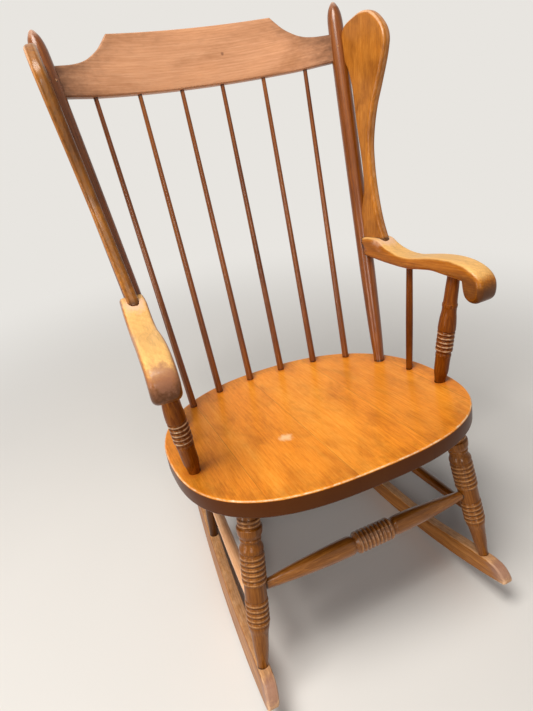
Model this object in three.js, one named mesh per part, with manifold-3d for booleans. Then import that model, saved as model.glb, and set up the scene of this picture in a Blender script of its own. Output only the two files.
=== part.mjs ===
// Boston rocking chair: plank seat, turned legs and stretchers, raked back with six spindles,
// rolled arms, and a shaped side wing between each arm and its back post.
// Millimetres. The chair is drawn with its seat level (X across, Y to the back, Z up from the
// seat's top face) and is then tipped back to the angle at which it comes to rest.
import * as THREE from "three";
import { TessellateModifier } from "three/addons/modifiers/TessellateModifier.js";
import { mergeVertices } from "three/addons/utils/BufferGeometryUtils.js";
import Module from "manifold-3d";

const wasm = await Module();
wasm.setup();

// Fits
const clearance = 0.3;
const overrun = 12;
const edgeSteps = 2;
const turningSides = 12;
const rodSides = 10;

// Rest
const restTilt = THREE.MathUtils.degToRad(9.74);
const seatHeight = 385;

// Seat plank
const seatHalfWidth = 280;
const seatFrontReach = 173;
const seatBackReach = 319;
const seatWidestPlace = 57;
const seatThickness = 32;
const seatEdgeRound = 4;
const seatSocketDepth = 23;
const seatFrontFullness = 2.7;
const seatBackFullness = 2.25;
const seatOutlineSteps = 44;

// Places on the seat as shares of its half width and of its reach to the front or the back
const backPostPlaceShares = [0.809, 0.534];
const armPostPlaceShares = [0.8936, 0];
const armSpindlePlaceShares = [0.8725, 0.274];
const frontLegPlaceShares = [0.707, -0.528];
const rearLegPlaceShares = [0.664, 0.611];
const frontFootPlaceShares = [0.843, -0.692];
const rearFootPlaceShares = [0.743, 0.727];
const spindlePlaceShares = [
  [-0.655, 0.76],
  [-0.411, 0.859],
  [-0.136, 0.896],
  [0.136, 0.896],
  [0.411, 0.859],
  [0.655, 0.76],
];

// Back posts
const postRise = 717;
const postDiameter = 33;
const postSplay = THREE.MathUtils.degToRad(4.99);
const postRake = THREE.MathUtils.degToRad(11.39);
const postShares = [
  [0, 0.688],
  [0.01, 0.688],
  [0.06, 0.78],
  [0.12, 0.86],
  [0.18, 0.91],
  [0.29, 0.97],
  [0.66, 1],
  [0.85, 0.975],
  [0.944, 0.92],
  [0.962, 0.85],
  [0.978, 0.69],
  [0.99, 0.44],
  [0.997, 0.22],
  [1, 0],
];

// Crest rail
const crestRise = 600.6;
const crestHeight = 106;
const crestFrontRadius = 664;
const crestThickness = 16;
const crestEdgeRound = 3.5;
const crestBendStep = 80;
const crestBendRounds = 8;
const crestTenonThickness = 9;
const crestTenonHeight = 34;
const crestTenonDepth = 11;
const crestSocketDepth = 14;
const crestTenonPlaceShare = 0.29;
const crestCoveShares = [
  [0.583, 1],
  [0.619, 0.888],
  [0.658, 0.779],
  [0.702, 0.692],
  [0.755, 0.612],
  [0.81, 0.566],
  [0.879, 0.543],
  [1, 0.534],
];
const crestTopShares = [
  [-0.39, 1],
  [-0.195, 1],
  [0, 1],
  [0.195, 1],
  [0.39, 1],
];
const crestBottomShares = [
  [1, 0.061],
  [0.87, 0.046],
  [0.733, 0.0254],
  [0.55, 0.014],
  [0.36, 0.006],
  [0.18, 0.0015],
  [0, 0],
];
const pinDiameter = 4;
const pinSetInShare = 0.5;
const pinProud = 0.4;

// Back spindles
const spindleDiameter = 14.6;
const spindleTopDiameter = 8.2;
const spindleTopShares = [-0.7527, -0.4527, -0.149, 0.149, 0.4527, 0.7527];

// Arms
const armRise = 213;
const armNoseReach = 78;
const armWidth = 44;
const armHeight = 93.6;
const armEdgeRound = 7;
const armSocketDepth = 13;
const armTenonDiameter = 14;
const armTenonDepth = 15;
const armTenonRiseShare = 0.8;
const armTenonSetoutShare = 0.5;
const armPostShare = 0.2389;
const armTopShares = [
  [1.08, 0.985],
  [0.985, 0.992],
  [0.893, 1],
  [0.81, 0.978],
  [0.754, 0.868],
  [0.7, 0.785],
  [0.62, 0.712],
  [0.535, 0.688],
  [0.45, 0.716],
  [0.348, 0.749],
  [0.243, 0.7535],
  [0.142, 0.714],
  [0.0695, 0.6325],
  [0.0256, 0.523],
  [0.0034, 0.3965],
  [0, 0.244],
  [0.0116, 0.1],
  [0.037, 0.022],
];
const armTipShares = [
  [0.064, 0],
  [0.091, 0.022],
  [0.1164, 0.1],
  [0.1278, 0.2145],
  [0.134, 0.385],
];
const armUnderShares = [
  [0.172, 0.414],
  [0.265, 0.4558],
  [0.3527, 0.493],
  [0.4437, 0.478],
  [0.538, 0.4535],
  [0.6325, 0.466],
  [0.791, 0.523],
  [0.94, 0.6],
  [1.08, 0.67],
];

// Arm posts and arm spindles
const armPostDiameter = 32.5;
const armPostSplay = THREE.MathUtils.degToRad(5.5);
const armPostLean = THREE.MathUtils.degToRad(7.6);
const armPostShares = [
  [0, 0.637],
  [0.012, 0.637],
  [0.117, 0.83],
  [0.235, 0.86],
  [0.246, 0.892],
  [0.26, 0.892],
  [0.268, 0.85],
  [0.279, 0.8],
  ...rings(0.288, 0.482, 5, 0.985, 0.87),
  [0.49, 1],
  [0.53, 0.99],
  [0.61, 0.92],
  [0.705, 0.806],
  [0.727, 0.806],
  [0.737, 0.85],
  [0.757, 0.85],
  [0.767, 0.79],
  [0.81, 0.75],
  [0.87, 0.735],
  [0.985, 0.686],
  [1, 0.686],
];
const armSpindleDiameter = 14;
const armSpindleTopShare = 0.594;
const armSpindleShares = [
  [0, 0.93],
  [0.45, 1],
  [1, 0.88],
];

// Wings
const wingHeight = 414;
const wingReach = 135;
const wingThickness = 20;
const wingEdgeRound = 7;
const wingToeIn = THREE.MathUtils.degToRad(5.7);
const wingLapPastPost = 0.7;
const wingFootPlaceShare = 0.27;
const wingHeadPlaceShare = 0.874;
const wingWaistShare = 0.45;
const wingOutlineShares = [
  [0.552, -0.02],
  [0.466, 0.078],
  [0.423, 0.173],
  [0.403, 0.276],
  [0.408, 0.353],
  [0.432, 0.43],
  [0.5, 0.512],
  [0.605, 0.597],
  [0.743, 0.678],
  [0.882, 0.762],
  [0.954, 0.8125],
  [1, 0.86],
  [0.986, 0.9],
  [0.92, 0.938],
  [0.82, 0.972],
  [0.71, 0.992],
  [0.5445, 1],
  [0.383, 0.992],
  [0.2, 0.976],
  [0.1, 0.952],
  [0.05, 0.915],
  [0.04, 0.87],
  [0.056, 0.822],
  [0.13, 0.775],
  [0.178, 0.7],
  [0.184, 0.607],
  [0.193, 0.491],
  [0.209, 0.389],
  [0.211, 0.294],
  [0.186, 0.2225],
  [0.105, 0.15],
  [0.04, 0.084],
  [0, -0.02],
];
const dowelDiameter = 8;
const wingFootDowelLength = 30;
const wingHeadDowelLength = 26;
const wingHeadDowelDepthShare = 0.36;

// Front and rear legs
const frontLegDiameter = 42;
const rearLegDiameter = 30;
const footTenonLength = 22;
const footTenonShare = 0.72;
const frontLegShares = [
  [0, 0.705],
  [0.02, 0.705],
  [0.07, 0.79],
  ...rings(0.08, 0.13, 2, 0.9, 0.82),
  [0.14, 1],
  [0.172, 0.98],
  [0.205, 0.85],
  [0.212, 0.79],
  [0.217, 0.84],
  [0.226, 0.84],
  [0.2366, 0.762],
  [0.254, 0.8],
  [0.289, 0.95],
  [0.3, 0.95],
  [0.312, 0.86],
  ...rings(0.318, 0.509, 6, 0.971, 0.87),
  [0.516, 0.875],
  [0.56, 0.868],
  [0.602, 0.875],
  ...rings(0.608, 0.774, 5, 0.919, 0.82),
  [0.78, 0.85],
  [0.824, 0.726],
  [0.868, 0.65],
  [0.916, 0.59],
  [0.985, 0.46],
  [1, 0.46],
];
const rearLegShares = [
  [0, 0.88],
  [0.04, 0.88],
  [0.3, 1],
  [0.55, 0.97],
  [0.8, 0.82],
  [0.985, 0.64],
  [1, 0.64],
];

// Stretchers
const frontStretcherDrop = 181;
const frontStretcherDiameter = 38.5;
const frontStretcherRingShift = 7;
const sideStretcherFrontDrop = 225.6;
const sideStretcherRearDrop = 191;
const rearStretcherDrop = 158;
const plainStretcherDiameter = 21;
const stretcherTenonDepth = 12;
const frontStretcherEndShares = [
  [0, 0.42],
  [0.03, 0.44],
  [0.2, 0.57],
  [0.4, 0.7],
  [0.57, 0.78],
  [0.78, 0.85],
  [0.94, 0.86],
  [0.985, 0.8],
  [1, 0.68],
];
const frontStretcherRingSpanShare = 0.2;
const frontStretcherNeckShare = 0.012;
const plainStretcherShares = [
  [0, 0.81],
  [0.03, 0.82],
  [0.25, 0.96],
  [0.5, 1],
  [0.75, 0.96],
  [0.97, 0.82],
  [1, 0.81],
];

// Rockers
const rockerRadius = 950;
const rockerLowPlace = 27;
const rockerToeReach = 175;
const rockerToeRound = 8;
const rockerTailReach = 570;
const rockerThickness = 22;
const rockerDepth = 52;
const rockerEdgeRound = 4;
const rockerFacetLength = 36;
const rockerEndFacetShare = 0.25;
const rockerCant = THREE.MathUtils.degToRad(8.5);
const rockerDepthShares = [
  [0, 0.17],
  [0.002, 0.27],
  [0.0067, 0.423],
  [0.0147, 0.606],
  [0.0253, 0.75],
  [0.0373, 0.827],
  [0.0533, 0.894],
  [0.096, 0.96],
  [0.152, 0.998],
  [0.196, 0.983],
  [0.24, 0.965],
  [0.283, 0.956],
  [0.325, 0.962],
  [0.369, 0.975],
  [0.412, 0.992],
  [0.459, 1],
  [0.503, 1],
  [0.547, 0.985],
  [0.64, 0.904],
  [0.747, 0.779],
  [0.853, 0.654],
  [0.947, 0.548],
  [0.987, 0.48],
  [0.997, 0.31],
];

// Colours of the varnished wood
const seatColour = 0xc98a4a;
const turningColour = 0x8a5230;
const legColour = 0x85572f;
const armColour = 0xc08a50;
const wingColour = 0xb4763a;
const crestColour = 0xbf9070;
const rockerColour = 0x8d6236;

const chair = new THREE.Group();
chair.name = "boston_rocking_chair";

// A run of turned rings between two stations: groove, rounded crest, and so on.
function rings(fromShare, toShare, count, crestShare, grooveShare) {
  const pitchShare = (toShare - fromShare) / count;
  const stations = [[fromShare, grooveShare]];
  for (let i = 0; i < count; i += 1) {
    const startShare = fromShare + i * pitchShare;
    stations.push([startShare + 0.3 * pitchShare, crestShare]);
    stations.push([startShare + 0.7 * pitchShare, crestShare]);
    stations.push([startShare + pitchShare, grooveShare]);
  }
  return stations;
}

function point(x, y, z) {
  return new THREE.Vector3(x, y, z);
}

function mirrored(p, side) {
  return point(p.x * side, p.y, p.z);
}

// A closed geometry as a solid that can be joined and cut.
function solidOf(geometry) {
  const bare = geometry.clone();
  bare.deleteAttribute("normal");
  bare.deleteAttribute("uv");
  const merged = mergeVertices(bare);
  const triVerts = new Uint32Array(merged.index.array);
  const vertProperties = new Float32Array(merged.attributes.position.array);
  return new wasm.Manifold(new wasm.Mesh({ numProp: 3, vertProperties, triVerts }));
}

function geometryOf(solid) {
  const { vertProperties, triVerts } = solid.getMesh();
  const geometry = new THREE.BufferGeometry();
  geometry.setAttribute("position", new THREE.BufferAttribute(vertProperties, 3));
  geometry.setIndex(new THREE.BufferAttribute(triVerts, 1));
  geometry.computeVertexNormals();
  return geometry;
}

// A body is a geometry and the place where it stands in the chair.
// Another body's solid, seen from the first one's own frame:
function solidIn(body, other) {
  const relative = body.place.clone().invert().multiply(other.place);
  return solidOf(other.geometry.clone().applyMatrix4(relative));
}

function joined(body, others) {
  const solids = others.map((other) => solidIn(body, other));
  const whole = solids.reduce((sum, solid) => sum.add(solid), solidOf(body.geometry));
  return { geometry: geometryOf(whole), place: body.place };
}

function cut(body, others) {
  const solids = others.map((other) => solidIn(body, other));
  const rest = solids.reduce((left, solid) => left.subtract(solid), solidOf(body.geometry));
  return { geometry: geometryOf(rest), place: body.place };
}

function common(body, other) {
  const kept = solidOf(body.geometry).intersect(solidIn(body, other));
  return { geometry: geometryOf(kept), place: body.place };
}

function addPiece(name, body, colour, roughness) {
  const finish = new THREE.MeshStandardMaterial({ color: colour, roughness, metalness: 0 });
  const mesh = new THREE.Mesh(body.geometry, finish);
  mesh.name = name;
  mesh.applyMatrix4(body.place);
  chair.add(mesh);
}

// The place of something drawn along Y from its own origin, standing at one point and aimed at another.
function placeAlong(from, to) {
  const direction = to.clone().sub(from).normalize();
  const turn = new THREE.Quaternion().setFromUnitVectors(point(0, 1, 0), direction);
  return new THREE.Matrix4().compose(from, turn, point(1, 1, 1));
}

function placeOfBasis(origin, across, up) {
  const normal = across.clone().cross(up);
  return new THREE.Matrix4().makeBasis(across, up, normal).setPosition(origin);
}

// A turned member between the surfaces of the two pieces that hold it, with a tenon past each.
// Growth makes it fatter all along, to cut the space that it needs.
function turned(member, growth = 0) {
  const length = member.from.distanceTo(member.to);
  const profile = member.shares.map(
    ([alongShare, widthShare]) =>
      new THREE.Vector2((widthShare * member.diameter) / 2 + growth, alongShare * length),
  );
  const first = profile[0].x;
  const last = profile[profile.length - 1].x;
  if (member.startTenon > 0) {
    profile.unshift(new THREE.Vector2(first, -member.startTenon));
    profile.unshift(new THREE.Vector2(0, -member.startTenon));
  }
  const tenonRadius = last * (member.endTenonShare ?? 1);
  if (tenonRadius < last) profile.push(new THREE.Vector2(tenonRadius, length));
  if (member.endTenon > 0) profile.push(new THREE.Vector2(tenonRadius, length + member.endTenon));
  if (last > 0) profile.push(new THREE.Vector2(0, length + member.endTenon));
  const geometry = new THREE.LatheGeometry(profile, member.sides);
  return { geometry, place: placeAlong(member.from, member.to) };
}

// The hole drilled for one end of a turned member, open past the face that it enters.
// A shouldered end also gets a shallow seat for its shoulder.
function socket(member, atEnd) {
  const length = member.from.distanceTo(member.to);
  const [, widthShare] = member.shares[atEnd ? member.shares.length - 1 : 0];
  const tenonShare = atEnd ? (member.endTenonShare ?? 1) : 1;
  const width = widthShare * member.diameter;
  const mouth = width / 2 + clearance;
  const bore = (tenonShare * width) / 2 + clearance;
  const low = atEnd ? length - overrun : -member.startTenon - clearance;
  const high = atEnd ? length + member.endTenon + clearance : overrun;
  const profile = [new THREE.Vector2(0, low), new THREE.Vector2(mouth, low)];
  if (tenonShare < 1) {
    profile.push(new THREE.Vector2(mouth, length + clearance));
    profile.push(new THREE.Vector2(bore, length + clearance));
  }
  profile.push(new THREE.Vector2(bore, high), new THREE.Vector2(0, high));
  const geometry = new THREE.LatheGeometry(profile, member.sides);
  return { geometry, place: placeAlong(member.from, member.to) };
}

const startSocket = (member) => socket(member, false);
const endSocket = (member) => socket(member, true);

function rod(from, to, diameter) {
  const radius = diameter / 2;
  const length = from.distanceTo(to);
  const profile = [
    new THREE.Vector2(0, 0),
    new THREE.Vector2(radius, 0),
    new THREE.Vector2(radius, length),
    new THREE.Vector2(0, length),
  ];
  return { geometry: new THREE.LatheGeometry(profile, rodSides), place: placeAlong(from, to) };
}

// A hole for a rod that is let in at both ends.
function rodHole(from, to, diameter) {
  const direction = to.clone().sub(from).normalize().multiplyScalar(clearance);
  return rod(from.clone().sub(direction), to.clone().add(direction), diameter + 2 * clearance);
}

// A board sawn to an outline, its edges rounded over, centred on its own plane.
// Growth makes the same board larger all round, to cut the space that it needs.
function board(shape, thickness, edgeRound, growth, curveSteps) {
  const geometry = new THREE.ExtrudeGeometry(shape, {
    depth: thickness - 2 * edgeRound,
    steps: 1,
    bevelEnabled: true,
    bevelThickness: edgeRound + growth,
    bevelSize: edgeRound,
    bevelOffset: growth - edgeRound,
    bevelSegments: edgeSteps,
    curveSegments: curveSteps,
  });
  geometry.translate(0, 0, edgeRound - thickness / 2);
  return geometry;
}

function block(sizeX, sizeY, sizeZ, place) {
  return { geometry: new THREE.BoxGeometry(sizeX, sizeY, sizeZ), place };
}

// Straight-line reading of a table of shares at one place along it.
function readShares(table, placeShare) {
  const rows = [...table].sort((a, b) => a[0] - b[0]);
  const next = Math.max(1, rows.findIndex(([rowPlace]) => rowPlace >= placeShare));
  const [lowPlace, lowValue] = rows[next - 1];
  const [highPlace, highValue] = rows[next];
  return lowValue + ((placeShare - lowPlace) / (highPlace - lowPlace)) * (highValue - lowValue);
}

function onSeat([acrossShare, alongShare], height) {
  const reach = alongShare < 0 ? seatFrontReach : seatBackReach;
  return point(acrossShare * seatHalfWidth, alongShare * reach, height);
}

// A line that climbs from a foot with a slope outwards and a slope to the back.
function risenTo(foot, height, outwardAngle, backwardAngle) {
  const rise = height - foot.z;
  return point(foot.x + rise * Math.tan(outwardAngle), foot.y + rise * Math.tan(backwardAngle), height);
}

function atHeight(member, height) {
  const share = (height - member.from.z) / (member.to.z - member.from.z);
  return member.from.clone().lerp(member.to, share);
}

// Seat
function seatShape() {
  const points = [];
  for (let i = 0; i < seatOutlineSteps; i += 1) {
    const turn = (2 * Math.PI * i) / seatOutlineSteps;
    const cosine = Math.cos(turn);
    const sine = Math.sin(turn);
    const fullness = sine < 0 ? seatFrontFullness : seatBackFullness;
    const reach = sine < 0 ? seatFrontReach + seatWidestPlace : seatBackReach - seatWidestPlace;
    const across = Math.sign(cosine) * Math.abs(cosine) ** (2 / fullness) * seatHalfWidth;
    const along = Math.sign(sine) * Math.abs(sine) ** (2 / fullness) * reach;
    points.push(new THREE.Vector2(across, seatWidestPlace + along));
  }
  return new THREE.Shape(points);
}

const seatBottom = -seatThickness;
const seatBoard = board(seatShape(), seatThickness, seatEdgeRound, 0, 1);
const seatBody = {
  geometry: seatBoard,
  place: new THREE.Matrix4().makeTranslation(0, 0, seatBottom / 2),
};

// Back posts
function backPost(side) {
  const foot = onSeat(backPostPlaceShares, 0);
  const tip = risenTo(foot, postRise, postSplay, postRake);
  return {
    from: mirrored(foot, side),
    to: mirrored(tip, side),
    startTenon: seatSocketDepth,
    endTenon: 0,
    diameter: postDiameter,
    shares: postShares,
    sides: turningSides,
  };
}

function postWidthAt(height) {
  return readShares(postShares, height / postRise) * postDiameter;
}

// Crest rail: a bent board whose middle surface runs through the axes of both posts.
const crestMiddleRadius = crestFrontRadius + crestThickness / 2;
const crestEndRise = crestRise + crestTenonPlaceShare * crestHeight;
const crestEndPost = atHeight(backPost(1), crestEndRise);
const crestEndAngle = Math.asin(crestEndPost.x / crestMiddleRadius);
const crestUp = point(0, Math.sin(postRake), Math.cos(postRake));
const crestBack = point(0, Math.cos(postRake), -Math.sin(postRake));
const crestCentre = point(0, crestEndPost.y, crestEndPost.z)
  .addScaledVector(crestBack, -crestMiddleRadius * Math.cos(crestEndAngle))
  .addScaledVector(crestUp, -(crestTenonPlaceShare * crestHeight) / Math.cos(postRake));

// The crest leans back and bows back, so its edges arch up in its own plane to look level.
function crestArch(across) {
  const bow = Math.sqrt(crestMiddleRadius ** 2 - across ** 2) - crestMiddleRadius * Math.cos(crestEndAngle);
  return bow * Math.sin(postRake);
}

// A point of the crest's middle surface, from a distance across and a height above its lower edge.
function onCrest(across, height) {
  const reach = Math.sqrt(crestMiddleRadius ** 2 - across ** 2);
  return crestCentre
    .clone()
    .addScaledVector(crestBack, reach)
    .addScaledVector(crestUp, (height + crestArch(across)) / Math.cos(postRake))
    .add(point(across, 0, 0));
}

// The crest's outline while the board is still flat.
function crestOutline() {
  const drawn = ([acrossShare, upShare]) => {
    const across = acrossShare * crestEndPost.x;
    const unrolled = crestMiddleRadius * Math.asin(across / crestMiddleRadius);
    const up = (upShare * crestHeight + crestArch(across)) / Math.cos(postRake);
    return new THREE.Vector2(unrolled, up);
  };
  const turnedOver = (p) => new THREE.Vector2(-p.x, p.y);
  const cove = crestCoveShares.map(drawn);
  const bottom = crestBottomShares.map(drawn);
  const shape = new THREE.Shape();
  shape.moveTo(cove[0].x, cove[0].y);
  shape.splineThru(cove.slice(1));
  shape.lineTo(bottom[0].x, bottom[0].y);
  shape.splineThru([...bottom.slice(1), ...bottom.slice(0, -1).map(turnedOver).reverse()]);
  shape.lineTo(-cove[cove.length - 1].x, cove[cove.length - 1].y);
  shape.splineThru(cove.map(turnedOver).reverse().slice(1));
  shape.splineThru([...crestTopShares.map(drawn), cove[0]]);
  return shape;
}

// Sawn flat, its edges rounded over, and then bent about an upright that leans with the posts.
function crestBody() {
  const flat = board(crestOutline(), crestThickness, crestEdgeRound, 0, 1);
  const bent = new TessellateModifier(crestBendStep, crestBendRounds).modify(flat);
  const position = bent.attributes.position;
  for (let i = 0; i < position.count; i += 1) {
    const angle = position.getX(i) / crestMiddleRadius;
    const radius = crestMiddleRadius - position.getZ(i);
    position.setXYZ(i, radius * Math.sin(angle), position.getY(i), -radius * Math.cos(angle));
  }
  return { geometry: bent, place: placeOfBasis(crestCentre, point(1, 0, 0), crestUp) };
}

// The tenon on the end of the crest, and the mortise for it when it is grown by the clearance.
function crestTenon(side, growth) {
  const tangent = point(side * Math.cos(crestEndAngle), 0, 0).addScaledVector(
    crestBack,
    -Math.sin(crestEndAngle),
  );
  const postRadius = postWidthAt(crestEndRise) / 2;
  const end = mirrored(crestEndPost, side).addScaledVector(tangent, crestTenonDepth - postRadius);
  const length = 2 * crestTenonDepth;
  const middle = end.clone().addScaledVector(tangent, -length / 2);
  const place = placeOfBasis(middle, tangent, crestUp);
  return block(
    length + 2 * growth,
    crestTenonHeight + 2 * growth,
    crestTenonThickness + 2 * growth,
    place,
  );
}

// The pin that locks the crest's tenon, driven from the front of the post.
function crestPinEnds(side) {
  const postRadius = postWidthAt(crestEndRise) / 2;
  const setIn = pinSetInShare * postRadius;
  const halfChord = Math.sqrt(postRadius ** 2 - setIn ** 2);
  const middle = mirrored(crestEndPost, side).add(point(-side * setIn, 0, 0));
  return [
    middle.clone().addScaledVector(crestBack, -halfChord - pinProud),
    middle.clone().addScaledVector(crestBack, halfChord - crestTenonThickness / 2),
  ];
}

// The space that a post needs.
function postSpace(side) {
  return turned(backPost(side), clearance);
}

// Arm posts
const armPostTop = risenTo(onSeat(armPostPlaceShares, 0), armRise, armPostSplay, -armPostLean);

function armPost(side) {
  return {
    from: mirrored(onSeat(armPostPlaceShares, 0), side),
    to: mirrored(armPostTop, side),
    startTenon: seatSocketDepth,
    endTenon: armSocketDepth,
    diameter: armPostDiameter,
    shares: armPostShares,
    sides: turningSides,
  };
}

// Arms: the arm lies over the arm post and runs back to the post, its inner face flush with it.
const armRearHeight = armRise + armHeight / 3;
const armSetout = (armWidth - postWidthAt(armRearHeight)) / 2;
const armRear = atHeight(backPost(1), armRearHeight).add(point(armSetout, 0, 0));
const armRun = point(armRear.x - armPostTop.x, armRear.y - armPostTop.y, 0);
const armAlong = armRun.clone().normalize();
const armBase = armRise - readShares(armUnderShares, armPostShare) * armHeight;
const armNose = point(armPostTop.x, armPostTop.y, armBase).addScaledVector(armAlong, -armNoseReach);

// The scroll ahead of the arm post keeps its own length, and the rest follows the run behind it.
function alongArm(alongShare) {
  if (alongShare < armPostShare) return (alongShare / armPostShare) * armNoseReach;
  return armNoseReach + ((alongShare - armPostShare) / (1 - armPostShare)) * armRun.length();
}

function onArm(alongShare, upShare) {
  return armNose
    .clone()
    .addScaledVector(armAlong, alongArm(alongShare))
    .add(point(0, 0, upShare * armHeight));
}

function armShape() {
  const scaled = (table) =>
    table.map(([alongShare, upShare]) => new THREE.Vector2(alongArm(alongShare), upShare * armHeight));
  const top = scaled(armTopShares);
  const tip = scaled(armTipShares);
  const under = scaled(armUnderShares);
  const shape = new THREE.Shape();
  shape.moveTo(top[0].x, top[0].y);
  shape.splineThru([...top.slice(1), ...tip]);
  shape.splineThru(under);
  shape.lineTo(top[0].x, top[0].y);
  return shape;
}

function armBoard(side, growth) {
  const geometry = board(armShape(), armWidth, armEdgeRound, growth, 1);
  const place = placeOfBasis(mirrored(armNose, side), mirrored(armAlong, side), point(0, 0, 1));
  return { geometry, place };
}

// The flat at the front of a post against which the arm ends.
function armEndCutter(side) {
  const foot = atHeight(backPost(side), armRearHeight);
  const reach = postWidthAt(armRearHeight) / 2 + clearance;
  const size = 2 * armHeight;
  const middle = foot.clone().addScaledVector(crestBack, size / 2 - reach);
  return block(size, size, size, placeOfBasis(middle, point(1, 0, 0), crestBack));
}

function armTenon(side) {
  const height = armBase + armTenonRiseShare * armHeight;
  const radius = postWidthAt(height) / 2;
  const setout = point(side * armSetout * armTenonSetoutShare, 0, 0);
  const face = atHeight(backPost(side), height).add(setout).addScaledVector(crestBack, -radius);
  return {
    start: face.clone().addScaledVector(crestBack, -armTenonDepth),
    face,
    end: face.clone().addScaledVector(crestBack, armTenonDepth),
  };
}

function armSpindle(side) {
  const top = onArm(armSpindleTopShare, readShares(armUnderShares, armSpindleTopShare));
  return {
    from: mirrored(onSeat(armSpindlePlaceShares, 0), side),
    to: mirrored(top, side),
    startTenon: seatSocketDepth,
    endTenon: armSocketDepth,
    diameter: armSpindleDiameter,
    shares: armSpindleShares,
    sides: rodSides,
  };
}

// Wings: a board standing on the arm, its head let into the front outer corner of the post.
const armTop = armBase + armHeight;
const wingFoot = onArm(1, 1).addScaledVector(armAlong, -wingFootPlaceShare * wingReach);
const wingHeadHeight = armTop + wingHeadPlaceShare * wingHeight;
const wingHead = atHeight(backPost(1), wingHeadHeight).add(
  point(wingThickness / 2 - wingLapPastPost, 0, 0),
);
const wingAlong = point(-Math.sin(wingToeIn), Math.cos(wingToeIn), 0);
const wingLean =
  (wingHead.x - wingFoot.x + (wingHead.y - wingFoot.y) * Math.tan(wingToeIn)) /
  (wingHead.z - wingFoot.z);
const wingNormal = point(1, Math.tan(wingToeIn), -wingLean).normalize();
const wingUp = wingNormal.clone().cross(wingAlong).normalize();

// A point in the wing's plane, from its distance ahead of the post's axis and its height.
function inWingPlane(aheadShare, upShare) {
  const height = armTop + upShare * wingHeight;
  const along = atHeight(backPost(1), height).y - aheadShare * wingReach;
  const across =
    wingFoot.x + wingLean * (height - wingFoot.z) - Math.tan(wingToeIn) * (along - wingFoot.y);
  return point(across, along, height);
}

function wingShape() {
  const flat = wingOutlineShares.map(([aheadShare, upShare]) => {
    const offset = inWingPlane(aheadShare, upShare).sub(wingFoot);
    return new THREE.Vector2(offset.dot(wingAlong), offset.dot(wingUp));
  });
  const shape = new THREE.Shape();
  shape.moveTo(flat[0].x, flat[0].y);
  shape.splineThru(flat.slice(1));
  shape.lineTo(flat[0].x, flat[0].y);
  return shape;
}

function wingBoard(side, growth) {
  const geometry = board(wingShape(), wingThickness, wingEdgeRound, growth, 1);
  const place = placeOfBasis(
    mirrored(wingFoot, side),
    mirrored(wingAlong, side),
    mirrored(wingUp, side),
  );
  return { geometry, place };
}

// Everything above or below the wing's waist, to part its foot from its head.
function wingHalf(side, upward) {
  const up = mirrored(wingUp, side);
  const size = 2 * wingHeight;
  const middle = mirrored(wingFoot, side).addScaledVector(
    up,
    wingWaistShare * wingHeight + (upward * size) / 2,
  );
  return block(size, size, size, placeOfBasis(middle, mirrored(wingAlong, side), up));
}

function wingFootDowelEnds(side) {
  const middle = mirrored(wingFoot, side);
  const half = wingFootDowelLength / 2;
  const up = mirrored(wingUp, side);
  return [middle.clone().addScaledVector(up, -half), middle.clone().addScaledVector(up, half)];
}

function wingHeadDowelEnds(side) {
  const inPost = inWingPlane(0, wingHeadPlaceShare);
  const along = mirrored(wingAlong, side);
  const end = mirrored(inPost, side).addScaledVector(along, wingHeadDowelDepthShare * dowelDiameter);
  return [end.clone().addScaledVector(along, -wingHeadDowelLength), end];
}

// Rockers: the sole is an arc of flat facets, one of them level when the chair is at rest.
const rockerLength = rockerToeReach + rockerTailReach;
const arcCentreHeight = rockerRadius - seatHeight;

function soleHeight(place) {
  return arcCentreHeight - Math.sqrt(rockerRadius ** 2 - (place - rockerLowPlace) ** 2);
}

function deckHeight(place) {
  const share = (place + rockerToeReach) / rockerLength;
  return soleHeight(place) + readShares(rockerDepthShares, share) * rockerDepth;
}

function rockerShape() {
  const toe = -rockerToeReach + rockerToeRound;
  const facetAngle = rockerFacetLength / rockerRadius;
  const angleAt = (place) => Math.asin((place - rockerLowPlace) / rockerRadius);
  const facetsTo = (place) => (angleAt(place) - restTilt) / facetAngle - 0.5;
  const first = Math.ceil(facetsTo(toe) + rockerEndFacetShare);
  const last = Math.floor(facetsTo(rockerTailReach) - rockerEndFacetShare);
  const shape = new THREE.Shape();
  shape.moveTo(toe, soleHeight(toe));
  for (let i = first; i <= last; i += 1) {
    const angle = restTilt + (i + 0.5) * facetAngle;
    const place = rockerLowPlace + rockerRadius * Math.sin(angle);
    shape.lineTo(place, soleHeight(place));
  }
  shape.lineTo(rockerTailReach, soleHeight(rockerTailReach));
  const deck = rockerDepthShares.map(([alongShare]) => {
    const place = alongShare * rockerLength - rockerToeReach;
    return new THREE.Vector2(place, deckHeight(place));
  });
  shape.splineThru([...deck].reverse());
  shape.lineTo(toe, soleHeight(toe));
  return shape;
}

function footOnDeck(placeShares) {
  const place = onSeat(placeShares, 0);
  return point(place.x, place.y, deckHeight(place.y));
}

// A rocker is a flat board that closes in to the tail and leans out to its sole like the legs.
const frontFoot = footOnDeck(frontFootPlaceShares);
const rearFoot = footOnDeck(rearFootPlaceShares);
const rockerSpreadSlope = Math.tan(rockerCant);
const rockerToeIn =
  (frontFoot.x - rearFoot.x - rockerSpreadSlope * (rearFoot.z - frontFoot.z)) /
  (rearFoot.y - frontFoot.y);

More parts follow.
